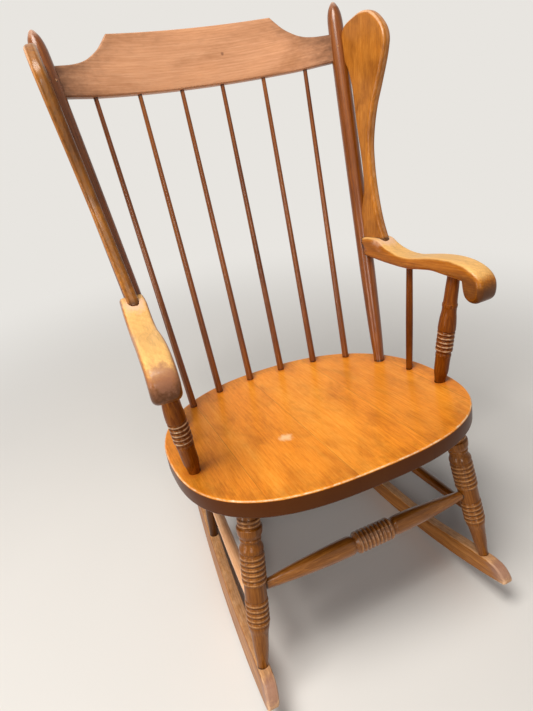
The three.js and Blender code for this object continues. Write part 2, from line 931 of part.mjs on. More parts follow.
// Its sides are planed to that lean, while its sole stays square to the floor.
function rockerBody(side) {
  const geometry = board(rockerShape(), rockerThickness, rockerEdgeRound, 0, 1);
  const standing = placeOfBasis(point(0, 0, 0), point(0, 1, 0), point(0, 0, 1));
  const slant = new THREE.Matrix4().makeShear(
    0,
    0,
    -side * rockerToeIn,
    0,
    -side * rockerSpreadSlope,
    0,
  );
  geometry.applyMatrix4(standing).applyMatrix4(slant);
  const across = frontFoot.x + rockerToeIn * frontFoot.y + rockerSpreadSlope * frontFoot.z;
  return { geometry, place: new THREE.Matrix4().makeTranslation(side * across, 0, 0) };
}

// Legs
function leg(side, placeShares, foot, diameter, shares) {
  return {
    from: mirrored(onSeat(placeShares, seatBottom), side),
    to: mirrored(foot, side),
    startTenon: seatSocketDepth,
    endTenon: footTenonLength,
    endTenonShare: footTenonShare,
    diameter,
    shares,
    sides: turningSides,
  };
}

function frontLeg(side) {
  return leg(side, frontLegPlaceShares, frontFoot, frontLegDiameter, frontLegShares);
}

function rearLeg(side) {
  return leg(side, rearLegPlaceShares, rearFoot, rearLegDiameter, rearLegShares);
}

function legWidthAt(member, drop) {
  const share = (-drop - member.from.z) / (member.to.z - member.from.z);
  return readShares(member.shares, share) * member.diameter;
}

// A stretcher between two legs, its visible run from one leg's surface to the other's.
function stretcher(startLeg, startDrop, endLeg, endDrop, diameter, shares, sides) {
  const start = atHeight(startLeg, -startDrop);
  const end = atHeight(endLeg, -endDrop);
  const direction = end.clone().sub(start).normalize();
  return {
    from: start.addScaledVector(direction, legWidthAt(startLeg, startDrop) / 2),
    to: end.addScaledVector(direction, -legWidthAt(endLeg, endDrop) / 2),
    startTenon: stretcherTenonDepth,
    endTenon: stretcherTenonDepth,
    diameter,
    shares,
    sides,
  };
}

function frontStretcher() {
  const plain = stretcher(
    frontLeg(-1),
    frontStretcherDrop,
    frontLeg(1),
    frontStretcherDrop,
    frontStretcherDiameter,
    [],
    turningSides,
  );
  const shiftShare = frontStretcherRingShift / plain.from.distanceTo(plain.to);
  const ringStartShare = 0.5 + shiftShare - frontStretcherRingSpanShare / 2;
  const ringEndShare = ringStartShare + frontStretcherRingSpanShare;
  const left = frontStretcherEndShares.map(([alongShare, widthShare]) => [
    alongShare * ringStartShare,
    widthShare,
  ]);
  const right = frontStretcherEndShares.map(([alongShare, widthShare]) => [
    1 - alongShare * (1 - ringEndShare),
    widthShare,
  ]);
  const middle = rings(
    ringStartShare + frontStretcherNeckShare,
    ringEndShare - frontStretcherNeckShare,
    9,
    1,
    0.86,
  );
  return { ...plain, shares: [...left, ...middle, ...right.reverse()] };
}

function sideStretcher(side) {
  return stretcher(
    frontLeg(side),
    sideStretcherFrontDrop,
    rearLeg(side),
    sideStretcherRearDrop,
    plainStretcherDiameter,
    plainStretcherShares,
    rodSides,
  );
}

function rearStretcher() {
  return stretcher(
    rearLeg(-1),
    rearStretcherDrop,
    rearLeg(1),
    rearStretcherDrop,
    plainStretcherDiameter,
    plainStretcherShares,
    rodSides,
  );
}

// Back spindles
function backSpindle(index) {
  const across = spindleTopShares[index] * crestEndPost.x;
  const edgeShare = readShares(
    crestBottomShares,
    Math.abs(spindleTopShares[index]),
  );
  return {
    from: onSeat(spindlePlaceShares[index], 0),
    to: onCrest(across, edgeShare * crestHeight),
    startTenon: seatSocketDepth,
    endTenon: crestSocketDepth,
    diameter: spindleDiameter,
    shares: [
      [0, 1],
      [1, spindleTopDiameter / spindleDiameter],
    ],
    sides: rodSides,
  };
}

// Assembly
const sides = [
  ["left", -1],
  ["right", 1],
];
const spindles = spindlePlaceShares.map((places, index) => backSpindle(index));

const seatMembers = sides.flatMap(([, side]) => [
  backPost(side),
  armPost(side),
  armSpindle(side),
  frontLeg(side),
  rearLeg(side),
]);
const seat = cut(seatBody, [...seatMembers, ...spindles].map(startSocket));
addPiece("seat", seat, seatColour, 0.35);

const crest = cut(
  joined(
    cut(
      crestBody(),
      sides.map(([, side]) => postSpace(side)),
    ),
    sides.map(([, side]) => crestTenon(side, 0)),
  ),
  [
    ...spindles.map(endSocket),
    ...sides.map(([, side]) => rodHole(...crestPinEnds(side), pinDiameter)),
  ],
);
addPiece("crest_rail", crest, crestColour, 0.35);

spindles.forEach((member, index) => {
  addPiece("back_spindle_" + (index + 1), turned(member), turningColour, 0.3);
});

addPiece("front_stretcher", turned(frontStretcher()), legColour, 0.3);
addPiece("rear_stretcher", turned(rearStretcher()), legColour, 0.35);

for (const [name, side] of sides) {
  const tenon = armTenon(side);
  const wingFootDowel = wingFootDowelEnds(side);
  const wingHeadDowel = wingHeadDowelEnds(side);
  const pin = crestPinEnds(side);

  const post = cut(turned(backPost(side)), [
    common(wingBoard(side, clearance), wingHalf(side, 1)),
    crestTenon(side, clearance),
    rodHole(...pin, pinDiameter),
    rodHole(...wingHeadDowel, dowelDiameter),
    rodHole(tenon.start, tenon.end, armTenonDiameter),
  ]);
  addPiece("back_post_" + name, post, turningColour, 0.3);
  addPiece("crest_pin_" + name, rod(...pin, pinDiameter), turningColour, 0.5);

  const arm = cut(
    joined(cut(armBoard(side, 0), [armEndCutter(side)]), [
      rod(tenon.start, tenon.end, armTenonDiameter),
    ]),
    [
      endSocket(armPost(side)),
      endSocket(armSpindle(side)),
      rodHole(...wingFootDowel, dowelDiameter),
    ],
  );
  addPiece("arm_" + name, arm, armColour, 0.3);
  addPiece("arm_post_" + name, turned(armPost(side)), turningColour, 0.3);
  addPiece("arm_spindle_" + name, turned(armSpindle(side)), turningColour, 0.3);

  const wing = cut(wingBoard(side, 0), [
    armBoard(side, clearance),
    common(postSpace(side), wingHalf(side, -1)),
    rodHole(...wingFootDowel, dowelDiameter),
    rodHole(...wingHeadDowel, dowelDiameter),
  ]);
  addPiece("wing_" + name, wing, wingColour, 0.3);
  addPiece("wing_foot_dowel_" + name, rod(...wingFootDowel, dowelDiameter), armColour, 0.6);
  addPiece("wing_head_dowel_" + name, rod(...wingHeadDowel, dowelDiameter), armColour, 0.6);

  const frontLegBody = cut(turned(frontLeg(side)), [
    startSocket(sideStretcher(side)),
    side < 0 ? startSocket(frontStretcher()) : endSocket(frontStretcher()),
  ]);
  addPiece("front_leg_" + name, frontLegBody, legColour, 0.3);
  const rearLegBody = cut(turned(rearLeg(side)), [
    endSocket(sideStretcher(side)),
    side < 0 ? startSocket(rearStretcher()) : endSocket(rearStretcher()),
  ]);
  addPiece("rear_leg_" + name, rearLegBody, legColour, 0.35);
  addPiece("side_stretcher_" + name, turned(sideStretcher(side)), legColour, 0.35);

  const rocker = cut(rockerBody(side), [endSocket(frontLeg(side)), endSocket(rearLeg(side))]);
  addPiece("rocker_" + name, rocker, rockerColour, 0.35);
}

// Tipped back to rest, with the origin under the middle of the whole chair on the floor.
chair.rotation.x = -restTilt;
chair.updateMatrixWorld(true);
const extent = new THREE.Box3().setFromObject(chair, true);
const middle = extent.getCenter(new THREE.Vector3());
chair.position.set(-middle.x, -middle.y, -extent.min.z);

const part = new THREE.Group();
part.add(chair);

export default part;
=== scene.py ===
"""A boston rocking chair in varnished maple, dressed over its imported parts.

Sizes are in millimetres on the level chair: X across, Y to the back, Z up from the seat's top face.
The function tipped_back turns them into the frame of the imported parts, in metres.
"""

import math

import bpy
import numpy as np
from mathutils import Matrix


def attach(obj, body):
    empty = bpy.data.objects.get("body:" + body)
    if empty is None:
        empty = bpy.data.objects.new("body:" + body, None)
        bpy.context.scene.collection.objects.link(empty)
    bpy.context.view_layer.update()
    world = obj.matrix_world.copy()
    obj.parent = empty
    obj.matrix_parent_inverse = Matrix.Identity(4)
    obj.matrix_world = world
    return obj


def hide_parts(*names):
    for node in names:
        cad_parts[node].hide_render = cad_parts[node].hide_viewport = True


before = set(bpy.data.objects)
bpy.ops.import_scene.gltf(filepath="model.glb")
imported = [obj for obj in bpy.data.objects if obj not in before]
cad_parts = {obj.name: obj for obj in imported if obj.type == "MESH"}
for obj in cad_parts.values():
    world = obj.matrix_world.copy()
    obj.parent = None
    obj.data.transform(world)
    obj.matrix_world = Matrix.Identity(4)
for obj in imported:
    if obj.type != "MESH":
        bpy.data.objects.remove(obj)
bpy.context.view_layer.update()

# --------------------
# Plank seat: one plank glued up from four maple boards, sawn to an egg shape, its edges rounded
# over, stained honey orange and varnished. Everything else is socketed into it.
MILLIMETRE = 0.001
SIDES = (("left", -1), ("right", 1))
REST_TILT = math.radians(9.74)
SEAT_MIDDLE = np.array([0.0, -146.716, 397.541])
SEAT_HALF_WIDTH = 280.0
SEAT_FRONT_REACH = 173.0
SEAT_BACK_REACH = 319.0
SEAT_WIDEST = 57.0
SEAT_THICKNESS = 32.0
SEAT_EDGE_ROUND = 4.0
SEAT_FRONT_FULLNESS = 2.7
SEAT_BACK_FULLNESS = 2.25
SEAT_SEAMS = (0.139, 0.04)
SEAT_POINTS = 240
BOARD_SHIFT = (3.0, 0.0, 0.05)
POST_PLACE = (0.809, 0.534)
ARM_POST_PLACE = (0.8936, 0.0)
ARM_SPINDLE_PLACE = (0.8725, 0.274)
SPINDLE_PLACES = [
    (-0.655, 0.76), (-0.411, 0.859), (-0.136, 0.896), (0.136, 0.896), (0.411, 0.859),
    (0.655, 0.76),
]


def tipped_back(points):
    """Row frame place of points on the level chair.

    The chair turns about X by the rest angle, so y' = y cos t + z sin t and z' = z cos t - y sin t,
    then moves so that the floor is at zero.
    """
    x, y, z = np.moveaxis(np.asarray(points, float), -1, 0)
    cosine, sine = math.cos(REST_TILT), math.sin(REST_TILT)
    turned_points = np.stack([x, y * cosine + z * sine, z * cosine - y * sine], axis=-1)
    return (turned_points + SEAT_MIDDLE) * MILLIMETRE


def on_seat(place, height=0.0):
    """Point of the seat from its share of the half width and of the reach to the front or back."""
    across, along = place
    reach = SEAT_FRONT_REACH if along < 0 else SEAT_BACK_REACH
    return np.array([across * SEAT_HALF_WIDTH, along * reach, height])


def mirrored(point, side):
    """The same point on the left (side -1) or the right (side 1) of the chair."""
    return point * np.array([side, 1.0, 1.0])


def feed(tree, socket, value):
    """Link another socket into this one, or give it a plain value."""
    if isinstance(value, bpy.types.NodeSocket):
        tree.links.new(value, socket)
    else:
        socket.default_value = value


def feed_named(tree, node, **inputs):
    """Feed a node's inputs by their names, with underscores for spaces."""
    for key, value in inputs.items():
        feed(tree, node.inputs[key.replace("_", " ")], value)


def shade_node(tree, kind, *values, **settings):
    """A new shader node: values feed its first inputs, a key names a setting or an input."""
    node = tree.nodes.new(kind)
    for key, value in settings.items():
        if hasattr(node, key):
            setattr(node, key, value)
        else:
            feed_named(tree, node, **{key: value})
    for socket, value in zip(node.inputs, values):
        feed(tree, socket, value)
    return node


def new_finish(name):
    """A new material, its node tree and its surface shader."""
    material = bpy.data.materials.new(name)
    material.use_nodes = True
    return material, material.node_tree, material.node_tree.nodes["Principled BSDF"]


def linear(colour):
    """Linear light of a colour written as three screen values from 0 to 255."""
    share = np.array(colour, float) / 255
    light = np.where(share <= 0.04045, share / 12.92, ((share + 0.055) / 1.055) ** 2.4)
    return (*light.tolist(), 1.0)


def blended(tree, share, low, high, mode="MIX"):
    """Colour between low and high by a share; each of the three may be a socket or a value."""
    node = shade_node(tree, "ShaderNodeMix", data_type="RGBA", blend_type=mode)
    for index, value in ((0, share), (6, low), (7, high)):
        feed(tree, node.inputs[index], value)
    return node.outputs[2]


def computed(tree, operation, *values):
    """Result of a math node on sockets or plain numbers."""
    return shade_node(tree, "ShaderNodeMath", *values, operation=operation).outputs[0]


def stretched(tree, coordinates, scale, shift=(0.0, 0.0, 0.0)):
    """Coordinates scaled per axis, to draw a pattern out along the grain."""
    node = shade_node(tree, "ShaderNodeMapping", coordinates, Location=shift, Scale=scale)
    return node.outputs[0]


def noise(tree, coordinates, scale, detail, roughness, distortion=0.0):
    """Noise value from 0 to 1 at these coordinates."""
    sizes = {"Scale": scale, "Detail": detail, "Roughness": roughness, "Distortion": distortion}
    return shade_node(tree, "ShaderNodeTexNoise", coordinates, **sizes).outputs[0]


def ramped(tree, value, stops):
    """Colour ramp through (place, colour) stops."""
    node = shade_node(tree, "ShaderNodeValToRGB", value)
    elements = node.color_ramp.elements
    while len(elements) < len(stops):
        elements.new(0.5)
    for element, (place, colour) in zip(elements, stops):
        element.position, element.color = place, colour
    return node.outputs[0]


def between(tree, value, low, high, out_low=0.0, out_high=1.0):
    """Value read from low..high onto out_low..out_high, smoothly and held at the ends."""
    values = (value, low, high, out_low, out_high)
    node = shade_node(tree, "ShaderNodeMapRange", *values, interpolation_type="SMOOTHSTEP")
    return node.outputs[0]


def embossed(tree, height, strength):
    """Normals of a surface whose grain stands up by a fifth of a millimetre at most."""
    depth = 0.2 * MILLIMETRE
    node = shade_node(tree, "ShaderNodeBump", Strength=strength, Distance=depth, Height=height)
    return node.outputs[0]


def varnished_maple(
    name, dark, middle, light, bare_and_lit, soiled_and_shaded, figure_contrast=0.17, ring_share=0.08,
    broad_across=45.0, fine_along=14.0, fine_across=330.0, blotch_along=8.0, blotch_across=18.0,
    blotch_depth=0.3, roughness=0.34, coat=0.45, coat_roughness=0.16, wear_reach=0.55,
    ragged=0.8, specular=0.2, seams=None, marks=(),
):
    """Stained maple under a worn varnish.

    The colour follows the grain attribute, whose X runs along the grain in metres: faint year rings
    about a pith beside the piece, broad and fine streaks and short fibres, then stain blotches. The
    wear value rubs high places down to paler wood and, on some pieces, paints highlights as pale
    wood. The soil value darkens grooves, joints and the seat's side band and, on some pieces,
    paints shade. Seams are (board width, offset) of glued boards, and each mark is (centre, radius,
    colour) in grain coordinates; some marks paint shade and some paint reflections.
    """
    material, tree, shader = new_finish(name)
    place, wear_and_highlight, soil_and_shade = (
        shade_node(tree, "ShaderNodeAttribute", attribute_name=key).outputs[kind]
        for key, kind in (("grain", "Vector"), ("wear_and_highlight", "Fac"), ("soil_and_shade", "Fac"))
    )

    grain = place
    if seams:
        width, offset = seams
        across = shade_node(tree, "ShaderNodeSeparateXYZ", place).outputs[1]
        board = computed(tree, "DIVIDE", computed(tree, "ADD", across, offset), width)
        number = computed(tree, "FLOOR", board)
        draw = shade_node(tree, "ShaderNodeTexWhiteNoise", noise_dimensions="1D", W=number)
        moved = (draw.outputs["Color"], BOARD_SHIFT, place)
        node = shade_node(tree, "ShaderNodeVectorMath", *moved, operation="MULTIPLY_ADD")
        grain = node.outputs[0]

    rings = shade_node(
        tree, "ShaderNodeTexWave", stretched(tree, grain, (0.9, 10.0, 10.0), (0.0, 0.23, 0.61)),
        wave_type="RINGS", rings_direction="X", wave_profile="SAW", Scale=7.0, Distortion=4.5,
        Detail=2.0, Detail_Scale=0.7,
    )
    broad_scale = (1.8, broad_across, broad_across)
    broad = noise(tree, stretched(tree, grain, broad_scale), 1.0, 3.0, 0.55, 0.5)
    fine_scale = (fine_along, fine_across, fine_across)
    fine = noise(tree, stretched(tree, grain, fine_scale), 1.0, 3.0, 0.6, 0.2)
    fibres = noise(tree, stretched(tree, grain, (60.0, 950.0, 950.0)), 1.0, 2.0, 0.6)
    figure = computed(tree, "MULTIPLY", rings.outputs["Fac"], ring_share)
    for streaks, weight in ((broad, 0.32), (fine, 0.34), (fibres, 0.26)):
        figure = computed(tree, "MULTIPLY_ADD", streaks, weight, figure)
    balance = 0.46 + ring_share / 2
    low, high = balance - figure_contrast, balance + figure_contrast
    tones = [(low, linear(dark)), (balance, linear(middle)), (high, linear(light))]
    colour = ramped(tree, figure, tones)

    cloud = stretched(tree, grain, (blotch_along, blotch_across, blotch_across), (1.7, 0.4, 0.2))
    blotch = noise(tree, cloud, 1.0, 4.0, 0.55, 0.4)
    deep = (1 - blotch_depth, 1 - 1.2 * blotch_depth, 1 - 1.5 * blotch_depth, 1.0)
    pale = (1 + 0.35 * blotch_depth, 1 + 0.35 * blotch_depth, 1 + 0.3 * blotch_depth, 1.0)
    shading = ramped(tree, blotch, [(0.3, deep), (0.5, (1.0, 1.0, 1.0, 1.0)), (0.7, pale)])
    colour = blended(tree, 1.0, colour, shading, "MULTIPLY")
    if seams:
        tones = [(0.0, (0.93, 0.9, 0.86, 1.0)), (1.0, (1.04, 1.05, 1.08, 1.0))]
        board_tone = ramped(tree, draw.outputs["Value"], tones)
        from_seam = computed(tree, "PINGPONG", board, 0.5)
        joint = between(tree, from_seam, 0.0015, 0.006, 0.72, 1.0)
        colour = blended(tree, 1.0, colour, board_tone, "MULTIPLY")
        colour = blended(tree, 1.0, colour, joint, "MULTIPLY")

    patches = noise(tree, stretched(tree, grain, (60.0, 110.0, 110.0)), 1.0, 4.0, 0.65)
    patchy = computed(tree, "MULTIPLY_ADD", patches, ragged, -ragged / 2)
    rubbed_and_lit = computed(tree, "ADD", wear_and_highlight, patchy)
    rubbed_and_lit = between(tree, rubbed_and_lit, wear_reach, wear_reach + 0.45)
    dirt_and_shade = computed(tree, "ADD", soil_and_shade, computed(tree, "MULTIPLY_ADD", patches, 0.4, -0.2))
    dirt_and_shade = computed(tree, "MULTIPLY", between(tree, dirt_and_shade, 0.15, 0.8), 0.97)
    bare_and_lit_dark, bare_and_lit_light = np.array(bare_and_lit) * 0.84, np.minimum(np.array(bare_and_lit) * 1.05, 255)
    bare_and_lit_wood = ramped(tree, figure, [(low, linear(bare_and_lit_dark)), (high, linear(bare_and_lit_light))])
    colour = blended(tree, rubbed_and_lit, colour, bare_and_lit_wood)
    colour = blended(tree, dirt_and_shade, colour, linear(soiled_and_shaded))
    for centre, radius, mark_colour in marks:
        apart = shade_node(tree, "ShaderNodeVectorMath", place, centre, operation="DISTANCE")
        uneven = computed(tree, "MULTIPLY_ADD", patches, 1.6 * radius, apart.outputs["Value"])
        shown = between(tree, uneven, radius * 1.2, radius * 2.1, 0.75, 0.0)
        colour = blended(tree, shown, colour, linear(mark_colour))

    dull = computed(tree, "MULTIPLY_ADD", patches, 0.16, roughness - 0.08)
    height = computed(tree, "MULTIPLY_ADD", fibres, 0.3, computed(tree, "MULTIPLY", fine, 0.5))
    height = computed(tree, "MULTIPLY_ADD", patches, 0.3, height)
    feed_named(
        tree, shader, Base_Color=colour,
        Roughness=computed(tree, "MULTIPLY_ADD", rubbed_and_lit, 0.22, dull),
        Specular_IOR_Level=specular, Specular_Tint=(1.0, 0.8, 0.6, 1.0), Coat_Weight=coat,
        Coat_Roughness=coat_roughness, Coat_IOR=1.5, Normal=embossed(tree, height, 0.22),
    )
    return material


def loft_faces(loops, points_each):
    """Four-sided faces between closed loops of points, and one flat face on each end loop."""
    row = np.arange(points_each)
    start = np.arange(loops - 1)[:, None] * points_each
    here, beside = start + row, start + (row + 1) % points_each
    quads = np.stack([here, beside, beside + points_each, here + points_each], axis=-1)
    first_end = row[::-1].tolist()
    last_end = (row + (loops - 1) * points_each).tolist()
    return quads.reshape(-1, 4).tolist() + [first_end, last_end]


def wooden_piece(name, loops, grain, start, wear_and_highlight, soil_and_shade, finish, replaced):
    """A closed piece through loops of points, with its grain, its wear and painted highlights, and
    its soil and painted shade on every point.

    Loops hold millimetres on the level chair. Grain holds the distances along and across the wood
    from its start, which is in metres. The faces turn round where the volume swept, the sum of each
    loop's area vector times the step of its middle, would be negative.
    """
    shape = loops.shape[:2]
    faces = loft_faces(*shape)
    areas = np.cross(loops, np.roll(loops, -1, axis=1)).sum(axis=1)
    if np.sum(areas[:-1] * np.diff(loops.mean(axis=1), axis=0)) < 0:
        faces = [face[::-1] for face in faces]
    mesh = bpy.data.meshes.new(name)
    mesh.from_pydata(tipped_back(loops).reshape(-1, 3).tolist(), [], faces)
    grain = np.stack(np.broadcast_arrays(*grain), axis=-1) * MILLIMETRE + start
    for key, kind, field, values in (
        ("grain", "FLOAT_VECTOR", "vector", grain),
        ("wear_and_highlight", "FLOAT", "value", np.broadcast_to(wear_and_highlight, shape)),
        ("soil_and_shade", "FLOAT", "value", np.broadcast_to(soil_and_shade, shape)),
    ):
        attribute = mesh.attributes.new(key, kind, "POINT")
        attribute.data.foreach_set(field, np.ascontiguousarray(values, np.float32).ravel())
    mesh.polygons.foreach_set("use_smooth", np.ones(len(faces), bool))
    mesh.materials.append(finish)
    mesh.update()
    piece = bpy.data.objects.new(name, mesh)
    bpy.context.scene.collection.objects.link(piece)
    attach(piece, "root")
    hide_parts(replaced)


def rounded_edge(thickness, edge_round, rounds=5, face_step=1.2):
    """Profile across a board's thickness, from one face to the other: (place, inset, arris).

    Each edge is a quarter circle: place = T/2 - r(1 - sin a) and inset = r(1 - cos a). The arris
    share is sin 2a, highest in the middle of the round. A last step inwards keeps the face flat.
    """
    angle = np.linspace(math.pi / 2, 0, rounds + 1)
    place = np.append(thickness / 2, thickness / 2 - edge_round * (1 - np.sin(angle)))
    inset = np.append(edge_round + face_step, edge_round * (1 - np.cos(angle)))
    arris = np.append(0.0, np.sin(2 * angle))
    halves = (place, -place), (inset, inset), (arris, arris)
    return [np.concatenate([near, [0.0], far[::-1]]) for near, far in halves]


# Painted shade: a darker halo is painted around every socket of the top face, where the seat
# meets the pieces let into it.
socket_shade_halos = [(place, 0.015) for place in SPINDLE_PLACES]
for _, side in SIDES:
    for (across, along), radius in (
        (POST_PLACE, 0.021), (ARM_POST_PLACE, 0.02), (ARM_SPINDLE_PLACE, 0.015),
    ):
        socket_shade_halos.append(((side * across, along), radius))
seat_marks = [
    (tuple(on_seat(place)[[1, 0, 2]] * MILLIMETRE), radius, (190, 100, 26))
    for place, radius in socket_shade_halos
]

seat_maple = varnished_maple(
    "seat_varnish", dark=(200, 104, 20), middle=(234, 142, 38), light=(248, 170, 68),
    bare_and_lit=(255, 232, 196), soiled_and_shaded=(68, 28, 1), figure_contrast=0.2, ring_share=0.05,
    broad_across=24.0, fine_along=20.0, fine_across=260.0, blotch_along=11.0,
    blotch_across=19.0, blotch_depth=0.24, roughness=0.36, coat=0.1, wear_reach=0.5,
    specular=0.1, seams=SEAT_SEAMS,
    marks=seat_marks + [((0.001, -0.082, 0.0), 0.012, (246, 206, 156))],
)

seat_turn = np.linspace(0, 2 * math.pi, SEAT_POINTS, endpoint=False)
seat_sine, seat_cosine = np.sin(seat_turn), np.cos(seat_turn)
seat_fullness = np.where(seat_sine < 0, SEAT_FRONT_FULLNESS, SEAT_BACK_FULLNESS)
seat_reach = np.where(seat_sine < 0, SEAT_FRONT_REACH + SEAT_WIDEST, SEAT_BACK_REACH - SEAT_WIDEST)
seat_outline = np.stack(
    [
        np.sign(seat_cosine) * np.abs(seat_cosine) ** (2 / seat_fullness) * SEAT_HALF_WIDTH,
        np.sign(seat_sine) * np.abs(seat_sine) ** (2 / seat_fullness) * seat_reach + SEAT_WIDEST,
    ],
    axis=-1,
)


def inset_outline(outline, distance):
    """A closed outline moved inwards by a distance, its corners mitred.

    Each point moves along the sum of the normals of its two sides, over 1 + their dot product.
    """
    side = np.roll(outline, -1, axis=0) - outline
    side = side / np.linalg.norm(side, axis=1, keepdims=True)
    normal = np.stack([-side[:, 1], side[:, 0]], axis=-1)
    before = np.roll(normal, 1, axis=0)
    spread = np.maximum(1 + np.sum(normal * before, axis=1, keepdims=True), 0.5)
    ahead = np.roll(outline, -1, axis=0)
    area = np.sum(outline[:, 0] * ahead[:, 1] - ahead[:, 0] * outline[:, 1])
    return outline + math.copysign(distance, area) * (normal + before) / spread


seat_places, seat_insets, seat_arris = rounded_edge(SEAT_THICKNESS, SEAT_EDGE_ROUND, 6)
seat_rim = [inset_outline(seat_outline, inset) for inset in seat_insets]
seat_centre = np.array([0.0, SEAT_WIDEST])
inner_shares = np.array([0.03, 0.15, 0.3, 0.5, 0.7, 0.85, 0.95])
inner_count = len(inner_shares)
top_inner = [seat_centre + (seat_rim[0] - seat_centre) * share for share in inner_shares]
flat_loops = np.array(top_inner + seat_rim + top_inner[::-1])
seat_heights = np.pad(seat_places, inner_count, "edge") - SEAT_THICKNESS / 2
rim_loop = np.pad(seat_arris, inner_count)[:, None]
toward_rim = np.zeros((len(flat_loops), 1))
toward_rim[inner_count - 2] = 0.16
toward_rim[inner_count - 1 : inner_count + 2] = 0.3
across, along, up = np.broadcast_arrays(
    flat_loops[..., 0], flat_loops[..., 1], seat_heights[:, None]
)
# The top arris is painted pale: wear and a painted highlight. The side band and underside take the
# darker colour in full, and the top darkens a little towards the rim.
wooden_piece(
    "seat_plank", np.stack([across, along, up], axis=-1), (along, across, up), 0.0,
    0.72 * rim_loop * (up > -SEAT_THICKNESS / 2),
    np.maximum(np.clip(-up / SEAT_EDGE_ROUND, 0, 1) ** 2, toward_rim), seat_maple,
    "seat",
)

# --------------------
# Rockers: two boards bandsawn from 22 mm maple, deepest under the front legs and thinning to the
# tail, planed to lean out like the legs, which are socketed into their upper edge.
SEAT_HEIGHT = 385.0
ROCKER_RADIUS = 950.0
ROCKER_LOW_PLACE = 27.0
ROCKER_TOE_REACH = 175.0
ROCKER_TOE_ROUND = 8.0
ROCKER_TOE_CURVE = 7.2
ROCKER_TAIL_REACH = 570.0
ROCKER_THICKNESS = 22.0
ROCKER_DEPTH = 52.0
ROCKER_EDGE_ROUND = 4.0
ROCKER_TOE_NARROWING = 16.0
ROCKER_FACET_LENGTH = 36.0
SOLE_POINTS = 120
SOLE_END_GAP = 1.5
ROCKER_CANT = math.radians(8.5)
ROCKER_DEPTHS = np.array(
    [
        [0, 0.17], [0.002, 0.27], [0.0067, 0.423], [0.0147, 0.606], [0.0253, 0.75], [0.0373, 0.827],
        [0.0533, 0.894], [0.096, 0.96], [0.152, 0.998], [0.196, 0.983], [0.24, 0.965],
        [0.283, 0.956], [0.325, 0.962], [0.369, 0.975], [0.412, 0.992], [0.459, 1], [0.503, 1],
        [0.547, 0.985], [0.64, 0.904], [0.747, 0.779], [0.853, 0.654], [0.947, 0.548],
        [0.987, 0.48], [0.997, 0.31],
    ]
)
FRONT_FOOT_PLACE = (0.843, -0.692)
REAR_FOOT_PLACE = (0.743, 0.727)

rocker_maple = varnished_maple(
    "rocker_varnish", dark=(112, 60, 8), middle=(160, 96, 30), light=(202, 140, 68),
    bare_and_lit=(242, 196, 150), soiled_and_shaded=(54, 28, 12), roughness=0.4, coat=0.15, wear_reach=0.5,
    ragged=0.3,
    marks=[((0.4 * side - 0.162, -0.038, 0.1), 0.026, (152, 110, 94)) for _, side in SIDES],
)


def smooth_path(points, steps=6):
    """Curve through points: between two of them a cubic whose end slopes are half the chord over
    both neighbours, cut into equal steps."""
    points = np.asarray(points, float)
    held = np.concatenate([2 * points[:1] - points[1:2], points, 2 * points[-1:] - points[-2:-1]])
    a, b, c, d = held[:-3, None], held[1:-2, None], held[2:-1, None], held[3:, None]
    t = (np.arange(steps) / steps)[None, :, None]
    curve = b + t * (c - a) / 2
    curve = curve + t**2 * (2 * a - 5 * b + 4 * c - d) / 2 + t**3 * (3 * b - a - 3 * c + d) / 2
    return np.concatenate([curve.reshape(-1, points.shape[1]), points[-1:]])


def sole_height(place, radius=ROCKER_RADIUS):
    """Height of the sole's arc above the seat plane's zero, for the level chair."""
    centre = ROCKER_RADIUS - SEAT_HEIGHT
    return centre - np.sqrt(radius**2 - (place - ROCKER_LOW_PLACE) ** 2)


def deck_height(place):
    """Height of the rocker's upper edge."""
    share = (place + ROCKER_TOE_REACH) / (ROCKER_TOE_REACH + ROCKER_TAIL_REACH)
    return sole_height(place) + np.interp(share, *ROCKER_DEPTHS.T) * ROCKER_DEPTH


def foot_on_deck(place):
    """Middle of a leg's foot, on the rocker's upper edge."""
    across, along, _ = on_seat(place)
    return np.array([across, along, deck_height(along)])


front_foot = foot_on_deck(FRONT_FOOT_PLACE)
rear_foot = foot_on_deck(REAR_FOOT_PLACE)
rocker_slope = math.tan(ROCKER_CANT)
feet_apart = rear_foot - front_foot
rocker_toe_in = -(feet_apart[0] + rocker_slope * feet_apart[2]) / feet_apart[1]
rocker_across = front_foot[0] + rocker_toe_in * front_foot[1] + rocker_slope * front_foot[2]

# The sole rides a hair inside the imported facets, so that it stays on the floor.
smooth_sole_radius = ROCKER_RADIUS * math.cos(ROCKER_FACET_LENGTH / ROCKER_RADIUS / 2)
sole_start, sole_end = ROCKER_TOE_ROUND - ROCKER_TOE_REACH, ROCKER_TAIL_REACH - SOLE_END_GAP
sole_places = np.linspace(sole_start, sole_end, SOLE_POINTS)
sole = np.stack([sole_places, sole_height(sole_places, smooth_sole_radius)], axis=-1)
toe_turn = np.linspace(0, math.pi / 2, 7)[1:-1][::-1]
toe_corner = np.stack([-np.sin(toe_turn), 1 - np.cos(toe_turn)], axis=-1)
toe_corner = sole[0] + ROCKER_TOE_CURVE * toe_corner
deck_places = ROCKER_DEPTHS[:, 0] * (ROCKER_TOE_REACH + ROCKER_TAIL_REACH) - ROCKER_TOE_REACH
deck_knots = np.stack([deck_places, deck_height(deck_places)], axis=-1)
deck = smooth_path(deck_knots[::-1])
rocker_outline = np.concatenate([toe_corner, sole, deck])


def board_loops(outline, thickness, edge_round, rounds=5):
    """Loops of a board from one face to the other: (along, up, through) and the arris share."""
    places, insets, arris = rounded_edge(thickness, edge_round, rounds)
    loops = np.array([inset_outline(outline, inset) for inset in insets])
    through = np.broadcast_to(places[:, None, None], (*loops.shape[:2], 1))
    return np.concatenate([loops, through], axis=-1), arris[:, None]


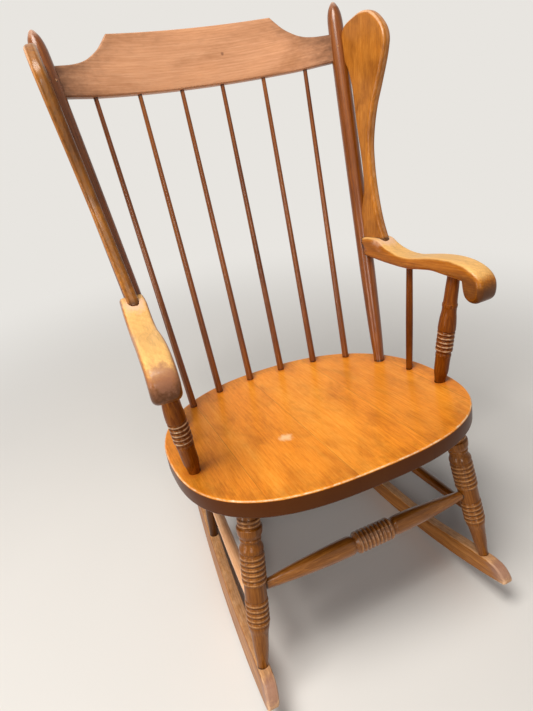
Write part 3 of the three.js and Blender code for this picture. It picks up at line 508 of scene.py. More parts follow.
for side_name, side in SIDES:
    flat, arris = board_loops(rocker_outline, ROCKER_THICKNESS, ROCKER_EDGE_ROUND)
    along, up, through = np.moveaxis(flat, -1, 0)
    from_toe = np.clip((along + ROCKER_TOE_REACH) / ROCKER_TOE_NARROWING, 0, 1)
    through = through * (0.86 + 0.14 * np.sqrt(1 - (1 - from_toe) ** 2))
    across = through + side * (rocker_across - rocker_toe_in * along - rocker_slope * up)
    toe = np.clip(1.5 - (along + ROCKER_TOE_REACH) / 26, 0, 1)
    foot_distance = np.minimum(np.abs(along - front_foot[1]), np.abs(along - rear_foot[1]))
    below_deck = deck_height(along) - up
    # Painted highlight: the deck's top face is painted pale, as are the worn arrises and toe. The
    # deck also darkens a little around each foot.
    wooden_piece(
        "rocker_board_" + side_name, np.stack([across, along, up], axis=-1),
        (along, up, through), (0.4 * side, 0.3, 0.1),
        np.maximum(0.6 * arris + 0.75 * toe, 0.68 * (below_deck < 1.5)),
        0.3 * np.exp(-((foot_distance / 16) ** 2)) * (below_deck < 5), rocker_maple,
        "rocker_" + side_name,
    )

# --------------------
# Legs: maple turned in a lathe. The front pair has two groups of beads, a vase and a tapered foot,
# the rear pair is plain. They are socketed into the seat and the rockers.
TENON_SHOWN = 5.0
JOINT_LINE = 2.5
TIP_LENGTH = 14.0
TIP_WEAR_REACH = 34.0
FRONT_LEG_PLACE = (0.707, -0.528)
REAR_LEG_PLACE = (0.664, 0.611)
FRONT_LEG_DIAMETER = 42.0
REAR_LEG_DIAMETER = 30.0
FRONT_LEG_PROFILE = [
    [0, 0.705], [0.0165, 0.705], [0.0578, 0.79], [0.066, 0.82], [0.114, 0.82], [0.1239, 1],
    [0.1507, 0.98], [0.1782, 0.85], [0.1841, 0.79], [0.1882, 0.84], [0.196, 0.84], [0.2055, 0.762],
    [0.221, 0.8], [0.2522, 0.95], [0.262, 0.95], [0.272, 0.86], [0.277, 0.87], [0.458, 0.87],
    [0.4653, 0.875], [0.5111, 0.868], [0.5548, 0.875], [0.561, 0.82], [0.716, 0.82], [0.7227, 0.85],
    [0.772, 0.726], [0.828, 0.65], [0.892, 0.59], [0.985, 0.46], [1, 0.46],
]
FRONT_LEG_BEADS = [
    (0.066, 0.114, 2, 0.9, 0.82), (0.277, 0.458, 6, 0.971, 0.85), (0.561, 0.716, 5, 0.919, 0.8),
]
REAR_LEG_PROFILE = [
    [0, 0.88], [0.04, 0.88], [0.3, 1], [0.55, 0.97], [0.8, 0.82], [0.985, 0.64], [1, 0.64],
]

leg_maple = varnished_maple(
    "leg_varnish", dark=(84, 40, 2), middle=(118, 65, 10), light=(152, 94, 34),
    bare_and_lit=(218, 162, 106), soiled_and_shaded=(34, 14, 4), coat=0.2, coat_roughness=0.2, wear_reach=0.5,
    ragged=0.6,
)
# Painted shade: the rear legs and the rear stretcher take a darker copy of the leg finish, for the
# seat's shade over them.
shaded_rear_leg_maple = varnished_maple(
    "shaded_rear_leg_varnish", dark=(52, 22, 0), middle=(70, 34, 3), light=(94, 52, 14),
    bare_and_lit=(206, 152, 98), soiled_and_shaded=(28, 11, 3), roughness=0.38, coat=0.1,
)


def eased_reading(table, places):
    """Reading of a table by cubics that never overshoot.

    The slope at a row is the weighted harmonic mean of the chords beside it, or zero where they
    turn back.
    """
    rows, values = np.asarray(table, float).T
    gap = np.diff(rows)
    chord = np.diff(values) / gap
    before, after = 2 * gap[1:] + gap[:-1], gap[1:] + 2 * gap[:-1]
    same_way = chord[:-1] * chord[1:] > 0
    low = np.where(same_way, chord[:-1], 1.0)
    high = np.where(same_way, chord[1:], 1.0)
    mean = np.where(same_way, (before + after) / (before / low + after / high), 0.0)
    slope = np.concatenate([chord[:1], mean, chord[-1:]])
    index = np.clip(np.searchsorted(rows, places, "right") - 1, 0, len(gap) - 1)
    t = (places - rows[index]) / gap[index]
    return (
        values[index] * (1 + 2 * t) * (1 - t) ** 2
        + slope[index] * gap[index] * t * (1 - t) ** 2
        + values[index + 1] * t**2 * (3 - 2 * t)
        + slope[index + 1] * gap[index] * t**2 * (t - 1)
    )


def turned_profile(table, beads, places):
    """Width share along a turned piece, and how high and how deep each place lies in a bead.

    Within a group of beads the width is groove + (crest - groove) times the height of a rounded
    arch, (1 - |2u - 1|^2.4)^0.6, where u runs from 0 to 1 over each bead.
    """
    width = eased_reading(table, places)
    crest, groove = np.zeros_like(width), np.zeros_like(width)
    for start, end, count, crest_width, groove_width in beads:
        inside = (places >= start) & (places <= end)
        u = ((places - start) / (end - start) * count) % 1
        arch = (1 - np.abs(2 * u - 1) ** 2.4) ** 0.6
        width = np.where(inside, groove_width + (crest_width - groove_width) * arch, width)
        crest = np.where(inside, arch**6, crest)
        groove = np.where(inside, (1 - arch) ** 1.5, groove)
    return width, crest, groove


def turned_piece(
    kind, suffix, ends, diameter, table, finish, beads=(), step=1.0,
    around=48, shift=0.0, tenons=(1, 1),
):
    """A lathe-turned piece between two points, let a little into what holds it at each end.

    A point is the axis point at its distance plus r(cos a u + sin a v), with u and v square to the
    axis. Its grain runs along the axis. An end without a tenon is a tip, with finer steps.
    """
    start, end = ends
    length = np.linalg.norm(end - start)
    axis = (end - start) / length
    low, high = -TENON_SHOWN * tenons[0], length + TENON_SHOWN * tenons[1]
    distance = np.linspace(low, high, int((high - low) / step) + 2)
    if not tenons[1]:
        tip = length - 0.1 - TIP_LENGTH * np.linspace(1, 0, 24) ** 2
        distance = np.concatenate([distance[distance < length - TIP_LENGTH - 0.5], tip])
    share = np.clip(distance / length, 0, 1)
    width, crest, groove = turned_profile(table, beads, share)
    radius = np.maximum(width * diameter / 2, 0.2)[:, None]
    turn = np.linspace(0, 2 * math.pi, around, endpoint=False)
    u = np.cross(axis, [0.0, 1.0, 0.0] if abs(axis[1]) < 0.8 else [1.0, 0.0, 0.0])
    u /= np.linalg.norm(u)
    v = np.cross(axis, u)
    ring = np.cos(turn)[:, None] * u + np.sin(turn)[:, None] * v
    before_end = np.maximum(length - distance, 0)
    joint = np.exp(-np.maximum(distance, 0) / JOINT_LINE) * tenons[0]
    joint = joint + np.exp(-before_end / JOINT_LINE) * tenons[1]
    tip_wear = 1.05 * np.exp(-before_end / TIP_WEAR_REACH) * (1 - tenons[1])
    wooden_piece(
        kind + "_turning" + suffix,
        start + distance[:, None, None] * axis + radius[..., None] * ring,
        (distance[:, None], radius * np.cos(turn), radius * np.sin(turn)),
        shift * np.array([1, 0.37, 0.61]), np.maximum(0.72 * crest, tip_wear)[:, None],
        np.clip(0.95 * groove + 0.75 * joint, 0, 1)[:, None], finish, kind + suffix,
    )


def leg_ends(side, place, foot):
    """Both ends of a leg: under the seat and on the rocker."""
    return mirrored(np.array([on_seat(place, -SEAT_THICKNESS), foot]), side)


for side_name, side in SIDES:
    turned_piece(
        "front_leg", "_" + side_name, leg_ends(side, FRONT_LEG_PLACE, front_foot),
        FRONT_LEG_DIAMETER, FRONT_LEG_PROFILE, leg_maple, FRONT_LEG_BEADS, step=0.8,
        shift=0.9 + 0.4 * side,
    )
    turned_piece(
        "rear_leg", "_" + side_name, leg_ends(side, REAR_LEG_PLACE, rear_foot),
        REAR_LEG_DIAMETER, REAR_LEG_PROFILE, shaded_rear_leg_maple, step=4.0,
        shift=2.1 + 0.4 * side,
    )

# --------------------
# Stretchers: turned maple rods tenoned into the legs. The front one swells to nine beads in its
# middle, the side and rear ones are plain and slightly fuller in the middle.
FRONT_STRETCHER_DROP = 181.0
FRONT_STRETCHER_DIAMETER = 38.5
FRONT_STRETCHER_BEAD_SHIFT = 7.0
FRONT_STRETCHER_BEAD_SPAN = 0.2
FRONT_STRETCHER_NECK = 0.012
FRONT_STRETCHER_END = np.array(
    [
        [0, 0.42], [0.03, 0.44], [0.2, 0.57], [0.4, 0.7], [0.57, 0.78], [0.78, 0.85], [0.94, 0.86],
        [0.985, 0.8], [1, 0.68],
    ]
)
SIDE_STRETCHER_FRONT_DROP = 225.6
SIDE_STRETCHER_REAR_DROP = 191.0
REAR_STRETCHER_DROP = 158.0
PLAIN_STRETCHER_DIAMETER = 21.0
PLAIN_STRETCHER_PROFILE = [
    [0, 0.81], [0.03, 0.82], [0.25, 0.96], [0.5, 1], [0.75, 0.96], [0.97, 0.82], [1, 0.81],
]


def at_height(start, end, height):
    """Point of a line at a height."""
    return start + (end - start) * (height - start[2]) / (end[2] - start[2])


def stretcher_ends(first, first_drop, second, second_drop):
    """Ends of a stretcher on the surfaces of its two legs, each given by ends, table and size."""
    marks = []
    for (start, end), table, diameter, drop in ((*first, first_drop), (*second, second_drop)):
        share = (-drop - start[2]) / (end[2] - start[2])
        marks.append((at_height(start, end, -drop), eased_reading(table, share) * diameter / 2))
    (begin, begin_radius), (finish, finish_radius) = marks
    direction = (finish - begin) / np.linalg.norm(finish - begin)
    return begin + direction * begin_radius, finish - direction * finish_radius


def leg_of(side, front):
    """A leg's ends, table and diameter."""
    if front:
        return leg_ends(side, FRONT_LEG_PLACE, front_foot), FRONT_LEG_PROFILE, FRONT_LEG_DIAMETER
    return leg_ends(side, REAR_LEG_PLACE, rear_foot), REAR_LEG_PROFILE, REAR_LEG_DIAMETER


stretcher_maple = varnished_maple(
    "stretcher_varnish", dark=(98, 50, 10), middle=(136, 80, 24), light=(172, 112, 52),
    bare_and_lit=(222, 170, 126), soiled_and_shaded=(34, 14, 4), roughness=0.32, coat=0.5, coat_roughness=0.22,
    wear_reach=0.5, ragged=0.6,
)
front_stretcher = stretcher_ends(
    leg_of(-1, True), FRONT_STRETCHER_DROP, leg_of(1, True), FRONT_STRETCHER_DROP
)
stretcher_length = np.linalg.norm(front_stretcher[1] - front_stretcher[0])
bead_middle = 0.5 + FRONT_STRETCHER_BEAD_SHIFT / stretcher_length
bead_start = bead_middle - FRONT_STRETCHER_BEAD_SPAN / 2
bead_end = bead_middle + FRONT_STRETCHER_BEAD_SPAN / 2
left_part = FRONT_STRETCHER_END * [bead_start, 1]
right_part = (FRONT_STRETCHER_END * [bead_end - 1, 1] + [1, 0])[::-1]
stretcher_beads = (bead_start + FRONT_STRETCHER_NECK, bead_end - FRONT_STRETCHER_NECK)
turned_piece(
    "front_stretcher", "", front_stretcher, FRONT_STRETCHER_DIAMETER,
    np.concatenate([left_part, [[place, 0.86] for place in stretcher_beads], right_part]),
    stretcher_maple, [(*stretcher_beads, 9, 1, 0.86)], step=0.9, shift=3.3,
)
turned_piece(
    "rear_stretcher", "",
    stretcher_ends(leg_of(-1, False), REAR_STRETCHER_DROP, leg_of(1, False), REAR_STRETCHER_DROP),
    PLAIN_STRETCHER_DIAMETER, PLAIN_STRETCHER_PROFILE, shaded_rear_leg_maple,
    step=5.0, around=32, shift=4.1,
)
# Painted light: the left side stretcher takes a much paler copy of the finish, as if lit, and the
# right one the darker leg finish, as if in shade.
lit_stretcher_maple = varnished_maple(
    "lit_stretcher_varnish", dark=(206, 142, 92), middle=(240, 180, 130),
    light=(254, 210, 166), bare_and_lit=(254, 216, 176), soiled_and_shaded=(54, 28, 12), coat=0.2,
)
for side_name, side in SIDES:
    front_end = (leg_of(side, True), SIDE_STRETCHER_FRONT_DROP)
    rear_end = (leg_of(side, False), SIDE_STRETCHER_REAR_DROP)
    turned_piece(
        "side_stretcher", "_" + side_name, stretcher_ends(*front_end, *rear_end),
        PLAIN_STRETCHER_DIAMETER, PLAIN_STRETCHER_PROFILE,
        lit_stretcher_maple if side < 0 else leg_maple, step=5.0, around=32,
        shift=5.2 + side,
    )

# --------------------
# Back posts: long turned maple posts, thin at the seat and bullet-shaped at the tip, that splay
# and rake. They carry the crest rail, the wings' heads and the arms' rear ends.
POST_RISE = 717.0
POST_DIAMETER = 33.0
POST_SPLAY = math.radians(4.99)
POST_RAKE = math.radians(11.39)
POST_PROFILE = [
    [0, 0.688], [0.01, 0.688], [0.06, 0.78], [0.12, 0.86], [0.18, 0.91], [0.29, 0.97], [0.66, 1],
    [0.85, 0.975], [0.944, 0.92], [0.962, 0.85], [0.978, 0.69], [0.99, 0.44], [0.997, 0.22], [1, 0],
]

turned_maple = varnished_maple(
    "turning_varnish", dark=(80, 34, 2), middle=(118, 60, 12), light=(144, 84, 30),
    bare_and_lit=(206, 168, 146), soiled_and_shaded=(34, 14, 5), roughness=0.32, coat=0.6, coat_roughness=0.24,
    wear_reach=0.62,
)


def risen_to(foot, height, outward, backward):
    """Point above a foot, on a line that slopes outwards and to the back."""
    slope = np.array([math.tan(outward), math.tan(backward), 1.0])
    return foot + (height - foot[2]) * slope


post_foot = on_seat(POST_PLACE)
post_tip = risen_to(post_foot, POST_RISE, POST_SPLAY, POST_RAKE)


def post_at(height):
    """Axis of the right-hand post at a height."""
    return at_height(post_foot, post_tip, height)


def post_radius(height):
    """Radius of a post at a height."""
    return np.interp(height / POST_RISE, *np.array(POST_PROFILE).T) * POST_DIAMETER / 2


for side_name, side in SIDES:
    turned_piece(
        "back_post", "_" + side_name, mirrored(np.array([post_foot, post_tip]), side),
        POST_DIAMETER, POST_PROFILE, turned_maple, step=3.0, shift=6.5 + 0.7 * side,
        tenons=(1, 0),
    )

# --------------------
# Crest rail: a board sawn with a cove at each end, its edges rounded, steamed and bent backwards,
# tenoned into both posts and drilled along its lower edge for the spindles.
CREST_RISE = 600.6
CREST_HEIGHT = 106.0
CREST_FRONT_RADIUS = 664.0
CREST_THICKNESS = 16.0
CREST_EDGE_ROUND = 3.5
CREST_TENON_PLACE = 0.29
CREST_COVE = [
    [0.583, 1], [0.619, 0.888], [0.658, 0.779], [0.702, 0.692], [0.755, 0.612], [0.81, 0.566],
    [0.879, 0.543], [1, 0.534],
]
CREST_BOTTOM = [
    [0, 0], [0.18, 0.0015], [0.36, 0.006], [0.55, 0.014], [0.733, 0.0254], [0.87, 0.046],
    [1, 0.061],
]
CREST_INTO_POST = 0.972
CREST_STEPS = 220

crest_maple = varnished_maple(
    "crest_varnish", dark=(176, 122, 84), middle=(196, 140, 101), light=(212, 158, 119),
    bare_and_lit=(236, 196, 160), soiled_and_shaded=(70, 36, 18), roughness=0.36, wear_reach=0.7,
    marks=[((7.055, 2.066, 1.008), 0.0035, (120, 78, 56))],
)

crest_radius = CREST_FRONT_RADIUS + CREST_THICKNESS / 2
crest_end = post_at(CREST_RISE + CREST_TENON_PLACE * CREST_HEIGHT)
crest_end_angle = math.asin(crest_end[0] / crest_radius)
crest_up = np.array([0.0, math.sin(POST_RAKE), math.cos(POST_RAKE)])
crest_back = np.array([0.0, math.cos(POST_RAKE), -math.sin(POST_RAKE)])
crest_centre = (
    np.array([0.0, crest_end[1], crest_end[2]])
    - crest_back * crest_radius * math.cos(crest_end_angle)
    - crest_up * CREST_TENON_PLACE * CREST_HEIGHT / math.cos(POST_RAKE)
)


def crest_arch(across):
    """Rise of the crest's edges, so that a rail that leans and bows back still looks level."""
    bow = np.sqrt(crest_radius**2 - across**2) - crest_radius * math.cos(crest_end_angle)
    return bow * math.sin(POST_RAKE)


def rounded_section(low, high, thickness, edge_round, rounds=4, face_steps=8):
    """Closed section of a rail between two heights: (height, depth, arris) per point.

    Corners are quarter circles of the edge's round, joined by straight faces in even steps.
    """
    angle = np.linspace(0, math.pi / 2, rounds + 1)
    depth = thickness / 2 - edge_round + edge_round * np.cos(angle)
    lift = edge_round * np.sin(angle)
    arris = np.sin(2 * angle)
    step = np.linspace(0, 1, face_steps + 2)[1:-1]
    base, top = (low + edge_round)[:, None], (high - edge_round)[:, None]
    face = base + (top - base) * step
    flat, even = np.full(face_steps, thickness / 2), np.zeros(face_steps)
    upper, lower = [top + lift, top + lift[::-1]], [base - lift, base - lift[::-1]]
    height = np.concatenate([face, *upper, face[:, ::-1], *lower], axis=1)
    across = np.concatenate([flat, depth, -depth[::-1], -flat, -depth, depth[::-1]])
    edge = np.concatenate([even, arris, arris, even, arris, arris])
    return height, across, edge


def on_board(origin, along_axis, up_axis, along, up, through):
    """Origin + along times its axis + up times its axis + through times the cross of the two."""
    axes = np.array([along_axis, up_axis, np.cross(along_axis, up_axis)])
    return origin + np.stack(np.broadcast_arrays(along, up, through), axis=-1) @ axes


even_shares = np.linspace(-CREST_INTO_POST, CREST_INTO_POST, CREST_STEPS)
crest_shares = np.sort([*even_shares, -CREST_COVE[0][0], CREST_COVE[0][0]])
crest_across = crest_shares * crest_end[0]
cove_reading = eased_reading(CREST_COVE, np.abs(crest_shares))
crest_top = np.where(np.abs(crest_shares) <= CREST_COVE[0][0], 1.0, cove_reading) * CREST_HEIGHT
crest_low = eased_reading(CREST_BOTTOM, np.abs(crest_shares)) * CREST_HEIGHT
arch = crest_arch(crest_across)
rail_height, rail_depth, rail_arris = rounded_section(
    (crest_low + arch) / math.cos(POST_RAKE), (crest_top + arch) / math.cos(POST_RAKE),
    CREST_THICKNESS, CREST_EDGE_ROUND,
)
rail_turn = np.arcsin(crest_across / crest_radius)[:, None]
rail_radius = crest_radius - rail_depth
# Across and up make forward the third axis, so a place behind the centre is negative on it.
rail_place = rail_radius * np.sin(rail_turn), rail_height, -rail_radius * np.cos(rail_turn)
rail_run = rail_turn * crest_radius
end_shade = 0.58 * np.clip((np.abs(rail_run) / crest_end[0] - 0.5) / 0.48, 0, 1)
top_shade = 0.2 * np.clip((rail_height / CREST_HEIGHT - 0.4) / 0.5, 0, 1)
wooden_piece(
    "crest_rail_board", on_board(crest_centre, [1.0, 0.0, 0.0], crest_up, *rail_place),
    (rail_run, rail_height, rail_depth), (7.0, 2.0, 1.0), 0.7 * rail_arris,
    end_shade + top_shade, crest_maple, "crest_rail",
)

# --------------------
# Back spindles: six thin turned maple rods that taper from the seat up to the crest rail. They
# are let into sockets in the seat and in the lower edge of the rail.
SPINDLE_TOPS = [-0.7527, -0.4527, -0.149, 0.149, 0.4527, 0.7527]
SPINDLE_DIAMETER = 14.6
SPINDLE_TOP_DIAMETER = 8.2


def on_crest(across, height):
    """Point of the crest's middle surface, from a distance across and a height over its edge."""
    reach = math.sqrt(crest_radius**2 - across**2)
    rise = (height + crest_arch(across)) / math.cos(POST_RAKE)
    return crest_centre + crest_back * reach + crest_up * rise + np.array([across, 0.0, 0.0])


for number, (place, top_share) in enumerate(zip(SPINDLE_PLACES, SPINDLE_TOPS), start=1):
    edge_height = eased_reading(CREST_BOTTOM, abs(top_share)) * CREST_HEIGHT
    turned_piece(
        "back_spindle", "_%d" % number,
        (on_seat(place), on_crest(top_share * crest_end[0], edge_height)), SPINDLE_DIAMETER,
        [[0, 1], [1, SPINDLE_TOP_DIAMETER / SPINDLE_DIAMETER]], turned_maple, step=6.0,
        around=28, shift=8.0 + 0.55 * number,
    )

# --------------------
# Arm posts: turned maple with five beads over a vase, splayed and leaning forward, socketed into
# the seat and into the underside of the arms.
ARM_RISE = 213.0
ARM_POST_SPLAY = math.radians(5.5)
ARM_POST_LEAN = math.radians(7.6)
ARM_POST_DIAMETER = 32.5
ARM_POST_PROFILE = [
    [0, 0.637], [0.012, 0.637], [0.117, 0.83], [0.25, 0.86], [0.264, 0.892], [0.2779, 0.892],
    [0.2858, 0.85], [0.2968, 0.8], [0.3057, 0.87], [0.4983, 0.87], [0.5063, 1], [0.546, 0.99],
    [0.615, 0.92], [0.69, 0.806], [0.71, 0.806], [0.72, 0.85], [0.74, 0.85], [0.75, 0.79],
    [0.8, 0.75], [0.8632, 0.735], [0.9842, 0.686], [1, 0.686],
]
ARM_POST_BEADS = [(0.3057, 0.4983, 5, 0.985, 0.86)]

arm_post_maple = varnished_maple(
    "arm_post_varnish", dark=(72, 28, 0), middle=(108, 52, 3), light=(146, 82, 20),
    bare_and_lit=(232, 200, 160), soiled_and_shaded=(28, 11, 3), coat=0.1, specular=0.12, wear_reach=0.5,
)

arm_post_foot = on_seat(ARM_POST_PLACE)
arm_post_top = risen_to(arm_post_foot, ARM_RISE, ARM_POST_SPLAY, -ARM_POST_LEAN)
for side_name, side in SIDES:
    turned_piece(
        "arm_post", "_" + side_name, mirrored(np.array([arm_post_foot, arm_post_top]), side),
        ARM_POST_DIAMETER, ARM_POST_PROFILE, arm_post_maple, ARM_POST_BEADS, step=0.7,
        shift=13.0 + 0.8 * side,
    )

# --------------------
# Arms: bandsawn from thick maple with a raised pad for the wing, a dip, and a scroll in front,
# all edges rounded over. They end square against the posts.
ARM_NOSE_REACH = 78.0
ARM_WIDTH = 44.0
ARM_HEIGHT = 93.6
ARM_EDGE_ROUND = 7.0
SCROLL_EDGE_ROUND = 10.0
SCROLL_REACH = 45.0
ARM_FACE_GAP = 0.3
ARM_POST_SHARE = 0.2389
ARM_TOP = [
    [1.08, 0.985], [0.985, 0.992], [0.893, 1], [0.81, 0.978], [0.754, 0.868], [0.7, 0.785],
    [0.62, 0.712], [0.535, 0.688], [0.45, 0.716], [0.348, 0.749], [0.243, 0.7535], [0.142, 0.714],
    [0.0695, 0.6325], [0.0256, 0.523], [0.0034, 0.3965], [0, 0.244], [0.0116, 0.1], [0.037, 0.022],
    [0.064, 0], [0.091, 0.022], [0.1164, 0.1], [0.1278, 0.2145], [0.134, 0.385],
]
ARM_UNDER = [
    [0.172, 0.414], [0.265, 0.4558], [0.3527, 0.493], [0.4437, 0.478], [0.538, 0.4535],
    [0.6325, 0.466], [0.791, 0.523], [0.94, 0.6], [1.08, 0.67],
]

arm_maple = varnished_maple(
    "arm_varnish", dark=(128, 68, 8), middle=(166, 96, 20), light=(198, 128, 46),
    bare_and_lit=(236, 182, 108), soiled_and_shaded=(82, 42, 8), coat=0.18, wear_reach=0.3, ragged=0.36,
    # Painted reflections: a pinkish-brown patch on the front of the left scroll and a pale pinkish
    # patch on each arm's rise to the pad.
    marks=[
        ((-0.696, 1.0, 3.042), 0.027, (150, 102, 78)),
        ((-0.438, 1.0, 3.087), 0.022, (222, 180, 150)),
        ((0.962, 1.0, 3.087), 0.022, (222, 180, 150)),
    ],
)

arm_rear_height = ARM_RISE + ARM_HEIGHT / 3
arm_setout = ARM_WIDTH / 2 - post_radius(arm_rear_height)
arm_rear = post_at(arm_rear_height) + np.array([arm_setout, 0.0, 0.0])
arm_run = (arm_rear - arm_post_top) * np.array([1.0, 1.0, 0.0])
arm_run_length = np.linalg.norm(arm_run)
arm_along = arm_run / arm_run_length
arm_base = ARM_RISE - np.interp(ARM_POST_SHARE, *np.array(ARM_UNDER).T) * ARM_HEIGHT
arm_nose = np.array([arm_post_top[0], arm_post_top[1], arm_base]) - arm_along * ARM_NOSE_REACH


def along_arm(share):
    """Distance from the nose: the scroll keeps its own length, the rest follows the run."""
    ahead = share / ARM_POST_SHARE * ARM_NOSE_REACH
    behind = ARM_NOSE_REACH + (share - ARM_POST_SHARE) / (1 - ARM_POST_SHARE) * arm_run_length
    return np.where(share < ARM_POST_SHARE, ahead, behind)


def arm_path(table):
    """The arm's outline through a table, in millimetres."""
    share, up = np.array(table, float).T
    return smooth_path(np.stack([along_arm(share), up * ARM_HEIGHT], axis=-1))


arm_outline = np.concatenate([arm_path(ARM_TOP), arm_path(ARM_UNDER)])
run_side = np.roll(arm_outline, -1, axis=0) - np.roll(arm_outline, 1, axis=0)
facing_up = -run_side[:, 0] / np.linalg.norm(run_side, axis=1)
# Wear and painted light: the arm's top is painted paler the more it faces up. Painted shade: near
# the nose, faces are darkened the more they turn forwards and down.
worn_and_lit_top = 0.72 * np.clip(facing_up + 0.1, 0, 1) * (arm_outline[:, 1] > 0.4 * ARM_HEIGHT)
shaded_nose = np.clip((0.75 - facing_up) / 0.9, 0, 1) * np.clip(1.6 - arm_outline[:, 0] / 30, 0, 1)
at_scroll = np.clip(1.5 - arm_outline[:, 0] / SCROLL_REACH, 0, 1)[:, None]
for side_name, side in SIDES:
    flat, arris = board_loops(arm_outline, ARM_WIDTH, ARM_EDGE_ROUND, 7)
    rounder, _ = board_loops(arm_outline, ARM_WIDTH, SCROLL_EDGE_ROUND, 7)
    along, up, through = np.moveaxis(flat + (rounder - flat) * at_scroll, -1, 0)
    along_axis = mirrored(arm_along, side)
    loops = on_board(mirrored(arm_nose, side), along_axis, [0.0, 0.0, 1.0], along, up, through)
    reach = post_radius(arm_rear_height) + ARM_FACE_GAP
    past = (loops - mirrored(post_at(arm_rear_height), side)) @ crest_back + reach
    back_by = np.maximum(past, 0) / (along_axis @ crest_back)
    near_post = 0.7 * np.exp(np.minimum(past, 0) / 5)
    to_face = ARM_WIDTH / 2 - np.abs(through)
    # Painted shade: the side faces are darkened, most in their lower part.
    shaded_sides = np.clip(3 - to_face, 0, 3) / 3 * np.clip(1.9 - up / 36, 0.15, 0.75)
    wooden_piece(
        "arm_board_" + side_name, loops - back_by[..., None] * along_axis,
        (along - back_by, through, up), (0.7 * side, 1.0, 3.0),
        np.maximum(0.25 * arris, worn_and_lit_top * np.clip((to_face + 1) / 5, 0, 1)),
        np.max([near_post, 0.78 * shaded_sides, 0.75 * shaded_nose * (to_face > 0.5)], axis=0), arm_maple,
        "arm_" + side_name,
    )

# --------------------
# Arm spindles: plain turned maple rods between the seat and the middle of each arm, let into
# sockets at both ends.
ARM_SPINDLE_TOP = 0.594
ARM_SPINDLE_DIAMETER = 14.0
ARM_SPINDLE_PROFILE = [[0, 0.93], [0.45, 1], [1, 0.88]]

arm_spindle_top = (
    arm_nose
    + arm_along * float(along_arm(np.array(ARM_SPINDLE_TOP)))
    + np.array([0.0, 0.0, np.interp(ARM_SPINDLE_TOP, *np.array(ARM_UNDER).T) * ARM_HEIGHT])
)
for side_name, side in SIDES:
    turned_piece(
        "arm_spindle", "_" + side_name,
        mirrored(np.array([on_seat(ARM_SPINDLE_PLACE), arm_spindle_top]), side),
        ARM_SPINDLE_DIAMETER, ARM_SPINDLE_PROFILE, arm_post_maple, step=5.0, around=28,
        shift=15.0 + 0.8 * side,
    )

# --------------------
# Wings: shaped boards sawn from 20 mm maple, narrow in the middle, that stand on the arms' pads
# and lean out to the posts' heads, where they are let in and doweled. Edges well rounded.
WING_HEIGHT = 414.0
WING_REACH = 135.0
WING_THICKNESS = 20.0
WING_EDGE_ROUND = 7.0
WING_SLACK = 0.2
WING_OUTLINE_SLACK = 0.12
WING_TOE_IN = math.radians(5.7)
WING_LAP_PAST_POST = 0.7
WING_FOOT_PLACE = 0.27
WING_HEAD_PLACE = 0.874
WING_OUTLINE = [
    [0.552, -0.02], [0.466, 0.078], [0.423, 0.173], [0.403, 0.276], [0.408, 0.353], [0.432, 0.43],
    [0.5, 0.512], [0.605, 0.597], [0.743, 0.678], [0.882, 0.762], [0.954, 0.8125], [1, 0.86],
    [0.986, 0.9], [0.92, 0.938], [0.82, 0.972], [0.71, 0.992], [0.5445, 1], [0.383, 0.992],
    [0.2, 0.976], [0.1, 0.952], [0.05, 0.915], [0.04, 0.87], [0.056, 0.822], [0.13, 0.775],
    [0.178, 0.7], [0.184, 0.607], [0.193, 0.491], [0.209, 0.389], [0.211, 0.294], [0.186, 0.2225],
    [0.105, 0.15], [0.04, 0.084], [0, -0.02],
]

wing_maple = varnished_maple(
    "wing_varnish", dark=(138, 78, 16), middle=(166, 100, 28), light=(188, 122, 46),
    bare_and_lit=(220, 168, 124), soiled_and_shaded=(30, 12, 3), ring_share=0.1, broad_across=34.0,
    fine_along=60.0, fine_across=260.0, blotch_along=18.0, blotch_across=26.0,
    blotch_depth=0.34, coat=0.25, coat_roughness=0.2, wear_reach=0.5, ragged=0.4,
)

arm_top = arm_base + ARM_HEIGHT
wing_foot = (
    arm_nose
    + arm_along * (ARM_NOSE_REACH + arm_run_length - WING_FOOT_PLACE * WING_REACH)
    + np.array([0.0, 0.0, ARM_HEIGHT])
)
wing_head = post_at(arm_top + WING_HEAD_PLACE * WING_HEIGHT) + np.array(
    [WING_THICKNESS / 2 - WING_LAP_PAST_POST, 0.0, 0.0]
)
wing_along = np.array([-math.sin(WING_TOE_IN), math.cos(WING_TOE_IN), 0.0])
wing_offset = wing_head - wing_foot
wing_lean = (wing_offset[0] + wing_offset[1] * math.tan(WING_TOE_IN)) / wing_offset[2]
wing_normal = np.array([1.0, math.tan(WING_TOE_IN), -wing_lean])
wing_normal /= np.linalg.norm(wing_normal)
wing_up = np.cross(wing_normal, wing_along)


def in_wing_plane(table):
    """Outline of the wing in its own leaning plane, from shares ahead of the post and shares up."""
    ahead, up = np.array(table, float).T
    height = arm_top + up * WING_HEIGHT
    share = height / POST_RISE
    along = post_foot[1] + share * (post_tip[1] - post_foot[1]) - ahead * WING_REACH
    behind, above = along - wing_foot[1], height - wing_foot[2]
    beside = wing_lean * above - math.tan(WING_TOE_IN) * behind
    offset = np.stack([beside, behind, above], axis=-1)
    return np.stack([offset @ wing_along, offset @ wing_up], axis=-1)


